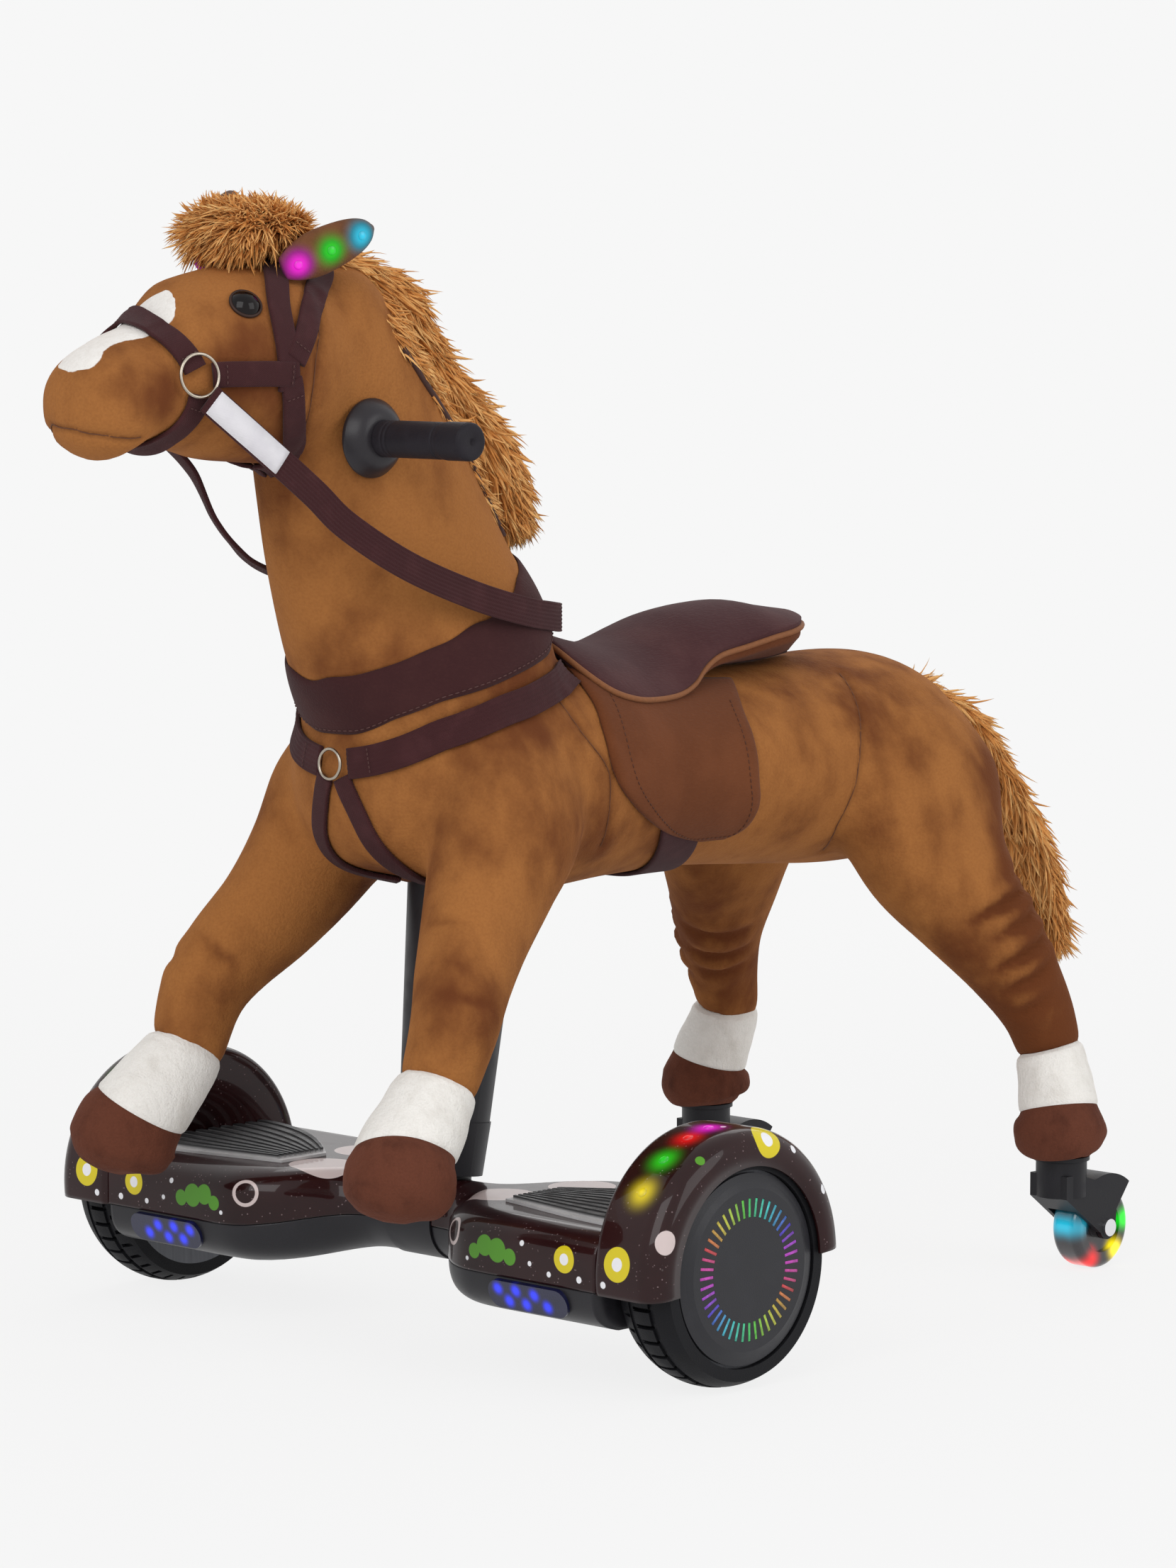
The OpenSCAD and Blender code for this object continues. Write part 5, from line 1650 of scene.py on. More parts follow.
def ear_loft(way: Sequence[float]) -> Loft:
    """An ear's form along its own direction: thickness across the head, width along it."""
    shares = (
        (0, 0.55, 0.5), (0.15, 0.9, 0.82), (0.35, 1, 1), (0.6, 0.95, 0.95), (0.8, 0.82, 0.78),
        (0.93, 0.55, 0.5), (1, 0.12, 0.1),
    )
    u = unit(np.array(way, float))
    rows = tuple((*(s[0] * u), s[1], s[2]) for s in shares)
    return Loft(rows, (40, -179, 747), (70, 70, 70), (16.4, 31.5))


LEFT_EAR = ear_loft((0.35, 0.85, 0.39))
RIGHT_EAR = ear_loft((0.22, 0.66, 0.72))
MAGENTA = srgb(255, 20, 225)
GREEN = srgb(10, 215, 30)
CYAN = srgb(20, 200, 235)
YELLOW = srgb(250, 225, 20)
RED = srgb(250, 15, 20)
BLUE = srgb(25, 45, 250)
EAR_SPOTS = ((0.14, MAGENTA), (0.42, GREEN), (0.7, CYAN))


def lamps_at(spots: Sequence[tuple], reach: float) -> tuple:
    """Lamps from pairs of a place in millimetres and a colour."""
    return tuple(Lamp(tuple(to_frame(np.array(spot))), colour, reach) for spot, colour in spots)


def ear_lamps(reach: float) -> tuple:
    """The three lamps on each ear's outer side."""
    made = []
    for loft, sign in ((LEFT_EAR, 1), (RIGHT_EAR, -1)):
        for t, colour in EAR_SPOTS:
            made.append((loft.point(np.array(t), np.array(0.0), 1.0) * [sign, 1, 1], colour))
    return lamps_at(made, reach)


def dome(place: Array, out: Array, radius: float, height: float) -> Shape:
    """A low lens on a short foot: its height falls with the square of the radius.

    Args:
        place: middle of its foot.
        out: the way it faces.
        radius: its rim.
        height: its rise.

    Returns:
        The closed lens.
    """
    r = np.linspace(0.0, 1.0, 8)
    cap = np.stack([radius * np.maximum(r, 0.004), height * (1 - r**2) + 0.4], 1)
    return revolved(np.concatenate([cap, [[radius, -1.5], [0.004 * radius, -1.5]]]), place, unit(out), 24)


@dataclass
class Face:
    """Ears with their lamps, and the rims of the bead eyes."""

    eye_spot: tuple = (0.355, 42.0)
    rim_r: float = 10.6
    rim_wire: float = 1.1

    def ear(self, loft: Loft) -> Shape:
        """An ear hollowed along its inner face, by a dip that is deepest halfway up."""
        t = np.linspace(0, 1, 40)[:, None]
        w = degrees(44)
        height = np.sin(np.pi * np.clip(t * 1.05, 0, 1)) ** 1.5
        dip = 4.2 * height * np.maximum(-np.cos(np.radians(w)), 0) ** 6
        return skinned(loft.point(t, w) - dip[..., None] * loft.normal(np.clip(t, 0.02, 0.98), w))

    def build(self) -> None:
        """Both ears as one piece, their lenses, then the eye rims."""
        coat = LitPlastic(
            "ear_plush", srgb(106, 63, 31), srgb(76, 43, 22), ear_lamps(0.02), 0.9, 0.0, 1.0, 620.0, 0.0014
        )
        ears = joined([self.ear(LEFT_EAR), self.ear(RIGHT_EAR).mirrored()])
        add("plush_ears", ears, coat, ("ears",))
        lenses = []
        for loft, side in ((LEFT_EAR, Side.LEFT), (RIGHT_EAR, Side.RIGHT)):
            for t, _ in EAR_SPOTS:
                at = (np.array(t), np.array(0.0))
                lenses.append(dome(loft.point(*at), loft.normal(*at), 3.2, 0.9).on(side))
        lit = LitPlastic("ear_lens", srgb(60, 60, 62), srgb(44, 44, 46), ear_lamps(0.011), 0.3, 0.1, 1.05)
        add("ear_lenses", joined(lenses), lit, ("ear_lights",))
        t, w = (np.array(value) for value in self.eye_spot)
        normal = HEAD.normal(t, w)
        rim = ring(HEAD.point(t, w) + 0.6 * normal, normal, self.rim_r, self.rim_wire, 1.2, 48)
        socket = Plastic("eye_rim_brown", srgb(46, 26, 18), srgb(70, 42, 28), 0.5)
        add("eye_rims", rim.pair(), socket)


@dataclass
class Tack:
    """Bridle, reins, collar, breast straps and girth, laid on the finished coat."""

    skin: Skin
    thick: float = 3.0
    bridle_w: float = 17.0
    strap_w: float = 21.5
    rein_w: float = 20.0
    girth_w: float = 37.0
    web: Webbing = Webbing("dark_webbing", srgb(60, 32, 34), srgb(80, 46, 48))
    felt: Felt = Felt("collar_felt", srgb(60, 34, 35), srgb(72, 43, 42))
    thread: Thread = Thread("brown_thread", srgb(92, 58, 55))
    fine: Sewing = Sewing(2.2, 3.0, 0.42)
    edge: Sewing = Sewing(3.4, 4.8, 0.45)
    nose_over: tuple = (
        (0.521, 12), (0.523, 40), (0.52, 65), (0.508, 90), (0.494, 112), (0.49, 132), (0.508, 152),
        (0.521, 168),
    )
    nose_under: tuple = (
        (0.528, -8), (0.55, -20), (0.58, -33), (0.605, -50), (0.622, -90), (0.605, -130), (0.58, -147),
        (0.55, -160), (0.528, -172),
    )
    cheek: tuple = ((0.485, 3), (0.41, -1), (0.357, -3), (0.3, -5))
    brow: tuple = (
        (0.307, -14), (0.309, 6), (0.305, 24), (0.291, 41), (0.26, 60), (0.228, 76), (0.215, 90),
        (0.228, 104), (0.26, 120), (0.291, 139), (0.305, 156), (0.309, 174), (0.307, 194),
    )
    poll: tuple = ((0.294, 3), (0.263, 18), (0.227, 35), (0.18, 47), (0.14, 56), (0.105, 66), (0.08, 78))
    jaw: tuple = ((0.304, -8), (0.284, -27), (0.258, -42), (0.237, -54), (0.223, -72), (0.218, -89))
    ring_spot: tuple = (0.521, 7.0)
    ring_wire: float = 1.1
    chest_ring: tuple = (0.0, -97.0, 408.0)
    chest_axis: tuple = (0.0, -8.0, 460.0)
    drop_points: tuple = (
        (8, -96, 399), (14, -93, 385), (21, -89, 368), (28, -77, 346), (30, -58, 336), (26, -38, 328),
        (15, -20, 324),
    )
    girth_line: tuple = (
        (0.416, 20), (0.43, 36), (0.447, 56), (0.462, 76), (0.466, 90), (0.462, 104), (0.447, 124),
        (0.43, 144), (0.416, 160),
    )
    rein_points: tuple = (
        (57, -262, 663), (66, -232, 637), (74, -186, 600), (79, -160, 577), (87, -113, 549), (89, -55, 527),
        (87, -3, 513), (68, 48, 505), (38, 82, 502), (0, 94, 502), (-38, 82, 502), (-68, 48, 505),
        (-86, -3, 513), (-86, -55, 527), (-70, -104, 541), (-58, -136, 556), (-55, -158, 576),
        (-55, -178, 608), (-59, -198, 628), (-60, -232, 650), (-54, -260, 668),
    )
    collar_top: tuple = (
        (-150, 475), (-112, 475), (-98, 478), (-84, 484), (-63, 492), (-39, 503), (-10, 514), (16, 531),
        (50, 548), (110, 562),
    )
    collar_low: tuple = (
        (-150, 424), (-93, 429), (-84, 441), (-63, 453), (-33, 461), (-7, 469), (34, 480), (75, 506),
        (110, 530),
    )
    collar_notch: float = 0.2
    breast_line: tuple = (
        (-200, 398), (-100, 405), (-85, 416), (-64, 429), (-21, 445), (29, 457), (64, 464), (110, 476)
    )
    label: tuple = (0.008, 0.082)
    rein_turn: tuple = (0.69, -0.715, 0.1)

    def strap(
        self, path: Array, width: float, ribs: int, lift: float, count: int
    ) -> tuple[Shape, Array, Array]:
        """A strap that follows the coat.

        Its path is laid on the coat and evened out; each point of its section is then laid beside the path
        at its own height, so that the strap hugs the form across its width too.

        Args:
            path: rough line near the coat.
            width: across the strap.
            ribs: waves on its face.
            lift: how far its back stays off the coat.
            count: steps along it.

        Returns:
            The strap, its laid middle line on its face, and the directions across it.
        """
        line, _ = self.skin.lay(even(path, count))
        line, normal = self.skin.lay(even(smooth_rows(line, 8), count))
        normal = unit(smooth_rows(normal, 14))
        side = unit(np.cross(along(line), normal))
        profile = strap_profile(width, self.thick, ribs)
        flat = line[:, None] + profile[None, :, :1] * side[:, None]
        under, _ = self.skin.lay(flat)
        height = smooth_rows(np.sum((under - line[:, None]) * normal[:, None], -1, keepdims=True), 10)
        body = flat + (height + lift + profile[None, :, 1:]) * normal[:, None]
        return skinned(body, run_uv(line, profile)), line + (lift + self.thick) * normal, side

    def across(self, face: Array, side: Array, lift: float, share: float, width: float) -> Shape:
        """A row of stitches across a strap at a share of its length.

        Args:
            face: middle line on the strap's face.
            side: directions across it.
            lift: how far the strap's back stays off the coat.
            share: place along it.
            width: across the strap.

        Returns:
            The stitches.
        """
        k = int(share * (len(face) - 1))
        path = face[k] + np.linspace(-0.42, 0.42, 12)[:, None] * width * side[k]
        normal = unit(np.cross(side[k], along(face)[k]))
        laid, _ = self.skin.lay(path)
        height = np.sum((laid - path) * normal, -1, keepdims=True) + self.thick + 0.75 + lift
        return stitches(path + height * normal, np.broadcast_to(normal, path.shape), self.fine)

    def bridle(self) -> None:
        """Noseband in two arcs between the rings, cheek pieces, browband, headpiece and throat strap."""
        made = []
        sewn = []
        for table, lift, shares, over in (
            (self.nose_over, 1.0, (0.07, 0.93), True), (self.nose_under, 1.0, (0.07, 0.93), True),
            (self.brow, 0.8, (), True), (self.cheek, 1.6, (0.16, 0.97), False),
            (self.poll, 1.2, (0.1,), False), (self.jaw, 1.3, (0.12,), False),
        ):
            path = HEAD.path(table, 160 if over else 90)
            shape, face, side = self.strap(path, self.bridle_w, 0, lift, 130 if over else 60)
            made.append(shape if over else shape.pair())
            rows = [self.across(face, side, lift, share, self.bridle_w) for share in shares]
            if rows:
                sewn.append(joined(rows) if over else joined(rows).pair())
        add("bridle_webbing", joined(made), self.web, ("bridle_straps",))
        add("bridle_stitching", joined(sewn), self.thread)

    def reins(self) -> None:
        """The reins as one ribbed strap on edge from ring to ring, with a bare tag on the near one."""
        steps = 240
        path = even(dense(self.rein_points, 400), steps)
        ahead = along(path)
        share = np.linspace(0, 1, steps)[:, None]
        twist = np.clip((share - 0.62) / 0.1, 0, 1)
        twist = 0.93 * twist * twist * (3 - 2 * twist) - 0.22 * bell((share - 0.88) / 0.04)
        lean = UP + np.maximum(twist, 0) * (np.array(self.rein_turn) - UP)
        edge = unit(lean - np.sum(lean * ahead, 1, keepdims=True) * ahead)
        out = np.cross(ahead, edge)
        shape = sweep(path, edge, out, strap_profile(self.rein_w, self.thick, 7))
        add("rein_webbing", shape, self.web, ("reins",))
        near = slice(*(int(share * steps) for share in self.label))
        half = self.rein_w / 2 - 1.2
        right = [[half, -0.8], [half + 0.5, 1.5], [half, 4.0]]
        left = [[-x, y] for x, y in right]
        section = np.array([left[0], *right, [0, 4.3], *left[:0:-1]])
        tag = Webbing("tag_cloth", srgb(238, 236, 240), srgb(214, 210, 218), 0.9)
        add("rein_tag", sweep(path[near], edge[near], out[near], section), tag)

    def around(self, angle: Array, low: tuple, share: Array, high: tuple) -> Array:
        """Places on the coat round the chest at an angle from its front and a share between two edges.

        Starts on a wide ring and is laid on the coat again and again, each time put back to its height,
        which the two side outlines give for its place along the horse.

        Args:
            angle: degrees from the front, over the left side.
            low: lower edge as pairs of place along the horse and height.
            share: from 0 at the lower edge to 1 at the upper one.
            high: upper edge.

        Returns:
            The places.
        """
        angle, share = np.broadcast_arrays(np.radians(angle), share)
        centre = np.array(self.chest_axis)
        way = np.stack([np.sin(angle), -np.cos(angle), np.zeros_like(angle)], -1)
        spot = centre + way * 120
        for _ in range(7):
            bottom, top = (np.interp(spot[..., 1], *np.array(edge, float).T) for edge in (low, high))
            spot[..., 2] = bottom + share * (top - bottom)
            spot, _ = self.skin.lay(spot)
            radius = np.linalg.norm(spot[..., :2] - centre[:2], axis=-1, keepdims=True)
            spot[..., :2] = centre[:2] + radius * way[..., :2]
        return spot

    def collar(self) -> None:
        """A wide felt band round the base of the neck, thin, with a sewn lower edge."""
        angle = np.linspace(-178, 178, 181)
        turn = np.radians(angle)
        share = np.linspace(0, 1, 15)
        dip = 1 - self.collar_notch * np.exp(-np.abs(angle) / 16)
        dip = dip + 0.022 * np.sin(turn * 9 + 1) * np.sin(turn * 4) + 0.018 * np.sin(turn * 17)
        middle = self.around(angle[:, None], self.collar_low, share * dip[:, None], self.collar_top)
        middle, normal = self.skin.lay(middle)
        middle = smooth_rows(middle, 4)
        normal = unit(smooth_rows(normal, 6))
        edge = np.sin(np.pi * share) ** 0.35
        wave = 0.9 * np.sin(turn * 5)[:, None] * (share[None, :] - 0.5)
        top = middle + (1.4 + 2.6 * edge + wave)[..., None] * normal
        back = middle + (0.9 + wave)[..., None] * normal
        band = add("collar_felt_band", layered(top, back, True), self.felt, ("breast_collar",))
        cloth(middle)
        low = 0.88 * top[:, 1] + 0.12 * top[:, 2] + 0.35 * normal[:, 1]
        add("collar_stitching", stitches(low, normal[:, 1], self.edge), self.thread)

    def breast(self) -> None:
        """Breast straps from the chest ring to the saddle, and the two straps that run down to the post."""
        line = self.breast_line
        path = self.around(np.linspace(9, 138, 120), line, np.zeros(120), line)
        shape, face, side = self.strap(path, self.strap_w, 6, 0.9, 120)
        down, _, _ = self.strap(dense(self.drop_points, 80), 15.0, 0, 0.9, 60)
        add("breast_webbing", joined([shape.pair(), down.pair()]), self.web, ("breast_straps",))
        ends = self.across(face, side, 0.9, 0.09, self.strap_w)
        add("breast_stitching", ends.pair(), self.thread)

    def girth(self) -> None:
        """The band under the belly between the saddle flaps."""
        shape, _, _ = self.strap(TORSO.path(self.girth_line, 150), self.girth_w, 0, 0.6, 100)
        add("girth_webbing", shape, self.web, ("girth",))

    def rings(self) -> None:
        """Wire rings on both cheeks and on the chest."""
        spot, normal = self.skin.lay(HEAD.point(*(np.array([v]) for v in self.ring_spot)), 5.2)
        cheek = ring(spot[0], normal[0], 14.2, self.ring_wire)
        spot, normal = self.skin.lay(np.array([self.chest_ring]), 5.4)
        chest = ring(spot[0], unit(normal[0] * [0, 1, 1]), 10.4, self.ring_wire)
        steel = Metal("ring_chrome", srgb(176, 166, 152), 0.22)
        add("tack_ring_wires", joined([cheek.pair(), chest]), steel, ("tack_rings",))

    def build(self) -> None:
        """All the tack."""
        self.rings()
        self.bridle()
        self.reins()
        self.collar()
        self.breast()
        self.girth()


@dataclass
class Saddle:
    """Padded felt seat with a raised back, its piping, and the two flaps."""

    skin: Skin
    crest: float = 40.0
    lift: float = 4.0
    wall: float = 11.0
    piping_r: float = 2.2
    lining_from: int = 30
    seat_rows: tuple = (
        (0.327, 3, 0.1, 0.1), (0.331, 22, 0.1, 0.12), (0.338, 38, 0.1, 0.14), (0.352, 48, 0.1, 0.16),
        (0.376, 51, 0.1, 0.15), (0.404, 49, 0.1, 0.19), (0.434, 45, 0.13, 0.34), (0.456, 40, 0.25, 0.54),
        (0.475, 34, 0.45, 0.72), (0.497, 30, 0.62, 0.9), (0.527, 28, 0.74, 1.03), (0.562, 26, 0.86, 1.07),
        (0.595, 23, 0.88, 0.94), (0.619, 16, 0.8, 0.82), (0.634, 8, 0.73, 0.74), (0.64, 2, 0.7, 0.71),
    )
    flap_rows: tuple = (
        (-62, 0.336, 0.525), (-48, 0.331, 0.51), (-36, 0.33, 0.501), (-23, 0.327, 0.498),
        (-10, 0.328, 0.497), (2, 0.338, 0.498), (12, 0.358, 0.502), (20, 0.379, 0.5035),
        (28, 0.404, 0.501), (33, 0.428, 0.494), (36.5, 0.452, 0.482),
    )
    seat_felt: Felt = Felt("seat_felt", srgb(68, 40, 42), srgb(84, 54, 54))
    flap_felt: Felt = Felt("flap_felt", srgb(100, 56, 32), srgb(114, 66, 40))
    cord: Thread = Thread("saddle_piping", srgb(140, 86, 46))
    thread: Thread = Thread("saddle_thread", srgb(88, 48, 28))
    edge: Sewing = Sewing(3.2, 4.6, 0.45)

    def seat(self) -> None:
        """The seat from a table of stations, half angles and heights round the back line.

        Its top is a crown across, and its underside a lip that lifts at the edges.
        """
        q = dense(self.seat_rows, 70)[:, None, :]
        v = np.sin(np.linspace(-np.pi / 2, np.pi / 2, 37))[None, :]
        top = self.crest * (q[..., 2] + (q[..., 3] - q[..., 2]) * (1 - v * v))
        under = np.maximum(self.crest * q[..., 2] - self.wall, 0) * np.abs(v) ** 2.2
        puff = 2.2 * (1 - v**2) ** 0.5
        w = 270 + v * q[..., 1]
        rough = TORSO.point(q[..., 0], w)
        laid, _ = self.skin.lay(rough)
        out = TORSO.normal(q[..., 0] + 0 * v, w)
        sink = smooth_rows(np.sum((laid - rough) * out, -1), 6)
        upper = rough + (sink + self.lift + top + puff)[..., None] * out
        lower = rough + (sink + self.lift * 0.4 + under)[..., None] * out
        pad = add("saddle_seat_pad", layered(upper, lower), self.seat_felt, ("saddle_seat",))
        raised = slice(self.lining_from, None)
        self.lining(upper[raised], lower[raised], out[raised])
        edge = 0.6 * upper[:, -1] + 0.4 * lower[:, -1] + LEFTWARD
        loop = even(np.concatenate([edge, (edge * MIRROR)[::-1], edge[:1]]), 361)[:-1]
        add("saddle_piping", tube(loop, self.piping_r, 10, True), self.cord)

    def lining(self, upper: Array, lower: Array, out: Array) -> None:
        """Brown felt under the piping: down the raised back's wall, then inwards below it.

        Args:
            upper: top of the raised back.
            lower: its underside.
            out: its outward directions.
        """
        across = unit(lower[:, -1:] - lower[:, -6:-5])
        fall = np.linspace(0.42, 1.0, 5)[:, None]
        wall = (1 - fall) * upper[:, -1:] + fall * lower[:, -1:]
        inward = slice(-2, -13, -1)
        top, under = (
            np.concatenate([wall + gap * across, lower[:, inward] - gap * out[:, inward]], 1)
            for gap in (0.9, 0.3)
        )
        felt = add("saddle_lining_felt", layered(top, under).pair(), self.flap_felt)
        cloth((top + under) / 2)

    def flaps(self) -> None:
        """Felt flaps laid on the coat, rounded at the rim, with a line of stitches inside it."""
        rows = dense(self.flap_rows, 60)
        share = np.concatenate([[0.0, 0.006, 0.02], np.linspace(0.05, 0.95, 30), [0.98, 0.994, 1.0]])
        t = rows[:, 1:2] + (rows[:, 2:] - rows[:, 1:2]) * share
        base, normal = self.skin.lay(TORSO.point(t, rows[:, :1]))
        normal = unit(smooth_rows(normal, 5))
        rim = np.minimum(np.minimum(share, 1 - share) * 40, 1.0) ** 0.5
        rise = 0.8 + 2.8 * rim
        top = base + (0.9 + rise)[None, :, None] * normal
        both = layered(top, base + 0.7 * normal).pair()
        felt = add("saddle_flap_felt", both, self.flap_felt, ("saddle_flaps",))
        cloth(base)
        k = slice(8, 56)
        line, out = (
            np.concatenate([net[k, 5], net[55, 5:31], net[k, 31][::-1]]) for net in (top, normal)
        )
        sewn = stitches(smooth_rows(line, 6) + 0.4 * out, out, self.edge)
        add("saddle_stitching", sewn.pair(), self.thread)

    def build(self) -> None:
        """Seat, piping and flaps."""
        self.seat()
        self.flaps()


@dataclass
class Handles:
    """Rubber grips with their domed flanges on both sides of the neck."""

    seat_x: float = 52.0
    lead: float = 111.0
    height: float = 633.0
    bore: float = 9.05
    flange_r: float = 27.0
    flange_h: float = 14.0
    grip_r: float = 12.9
    grip_l: float = 84.0
    rubber: Rubber = Rubber("grip_sleeve_rubber", srgb(34, 31, 36), srgb(52, 48, 54), 0.3)

    def flange(self) -> Shape:
        """A dome over a thin rim: its height falls with a power of the radius."""
        r = np.linspace(0.985, 0.47, 18)
        h = 3.2 + (self.flange_h - 3.2) * (1 - ((r - 0.47) / 0.515) ** 2.2)
        top = np.stack([r * self.flange_r, h], 1)
        edge = [[self.bore, 0.0], [self.flange_r - 0.6, 0.0], [self.flange_r, 0.8], [self.flange_r, 2.4]]
        return revolved(np.concatenate([edge, top, [[self.bore, self.flange_h]]]), *self.axis())

    def axis(self) -> tuple[Array, Array]:
        """Foot and direction of the left handle."""
        return np.array([self.seat_x, -self.lead, self.height]), LEFTWARD

    def grip(self) -> Shape:
        """A grip with three shallow grooves, a raised end band and a rounded end."""
        length = self.grip_l
        h = np.linspace(0.2, length - 3, 220)
        r = np.full_like(h, self.grip_r - 0.35)
        for groove in (8.0, 12.0, 56.0):
            r -= 0.55 * bell((h - groove) / 0.9)
        r += 0.45 / (1 + np.exp(-(h - 60.5) * 2.5))
        a = np.linspace(0, np.pi / 2, 10)
        end = np.stack([self.grip_r - 3 + 3 * np.cos(a), length - 3 + 3 * np.sin(a)], 1)
        cap = [[3.0, length], [2.2, length - 1.2], [0.02, length - 1.2], [0.02, length - 5.9]]
        back = [[self.bore, length - 5.9], [self.bore, 0.2]]
        foot, way = self.axis()
        profile = np.concatenate([np.stack([r, h], 1), end, cap, back])
        return revolved(profile, foot + self.flange_h * way, way, 56)

    def build(self) -> None:
        """Grips and flanges on both sides."""
        black = Plastic("flange_black", srgb(40, 37, 41), srgb(56, 53, 57), 0.33)
        add("handle_grip_sleeves", self.grip().pair(), self.rubber, ("handle_grips",))
        add("handle_domes", self.flange().pair(), black, ("handle_flanges",))


@dataclass(frozen=True)
class Motif:
    """A plain printed disc, or a ring where it has a width; places and sizes in millimetres."""

    x: float
    y: float
    z: float
    radius: float
    colour: Colour
    width: float = 0.0

    def mask(self, sh: Shader, spot: Wire) -> Wire:
        """1 on the print, 0 off it, with a soft edge of half a millimetre.

        Args:
            sh: helper of the material's nodes.
            spot: coordinates to measure from.

        Returns:
            The mask.
        """
        gap = sh.apart(to_frame(np.array([self.x, self.y, self.z])), spot)
        reach = self.radius * MM
        if self.width:
            gap = abs(gap - reach)
            reach = self.width * MM
        return gap.ramp(reach, reach - 0.5 * MM)


BLUSH = srgb(206, 190, 188)
LEMON = srgb(216, 198, 36)
LEAF = srgb(84, 148, 40)
CHALK = srgb(236, 236, 240)


@dataclass(frozen=True)
class PrintedShell(Finish):
    """Glossy film over moulded plastic: pale specks, plain printed shapes and the guard lamps' glow."""

    base: Colour
    cloud: Colour
    fleck: Colour
    motifs: tuple
    lamps: tuple

    def paint(self, sh: Shader) -> None:
        """The print is laid out on the left half and mirrored for the right by the size of X."""
        x, y, z = sh.axes(sh.place())
        spot = sh.node("CombineXYZ", None, {0: abs(x), 1: y, 2: z})
        colour = sh.mix(sh.noise(14.0, 4.0, spot).ramp(0.35, 0.7), self.base, self.cloud)
        cells = {"Vector": spot, "Scale": 300.0}
        speck = sh.node("TexVoronoi", None, cells, "Distance").ramp(0.2, 0.1)
        pick = sh.noise(120.0, 1.0, spot).ramp(0.48, 0.6)
        colour = sh.mix(speck * pick * 0.55, colour, self.fleck)
        for motif in self.motifs:
            colour = sh.mix(motif.mask(sh, spot), colour, motif.colour)
        scuff = sh.noise(30.0, 5.0).ramp(0.5, 0.8)
        sh.set(Base_Color=colour, Roughness=scuff * 0.1 + 0.32, Coat_Weight=0.42, Coat_Roughness=0.05)
        sh.set(Emission_Color=sh.glow(self.lamps, spot), Emission_Strength=0.85, Specular_IOR_Level=0.06)


@dataclass(frozen=True)
class RibbedPad(Finish):
    """Foot pad: black ribs that are polished on top, pale grey between them as a painted highlight on their
    slopes, and some dust over all.
    """

    rib: Colour
    valley: Colour
    low: float
    high: float

    def paint(self, sh: Shader) -> None:
        """Height above the floor tells rib from valley."""
        _, _, z = sh.axes(sh.place())
        top = z.ramp(self.low, self.high)
        dust = sh.noise(70.0, 4.0).ramp(0.4, 0.75)
        # The pale valley colour below the rib tops is a painted highlight on the ribs' slopes; the grey
        # mixed in by the noise is dust.
        colour = sh.mix(dust * 0.16, sh.mix(top, self.valley, self.rib), srgb(96, 96, 98))
        sh.set(Base_Color=colour, Roughness=dust * 0.2 + 0.5)
        sh.bump(sh.noise(900.0), 0.0002, 0.6)


def corner(x: float, top: float, size: float, sign: int) -> Array:
    """A quarter round at a corner, from the side wall to the top."""
    a = np.linspace(0, np.pi / 2, 9)
    return np.stack([x + sign * size * (1 - np.cos(a)), top - size * (1 - np.sin(a))], 1)


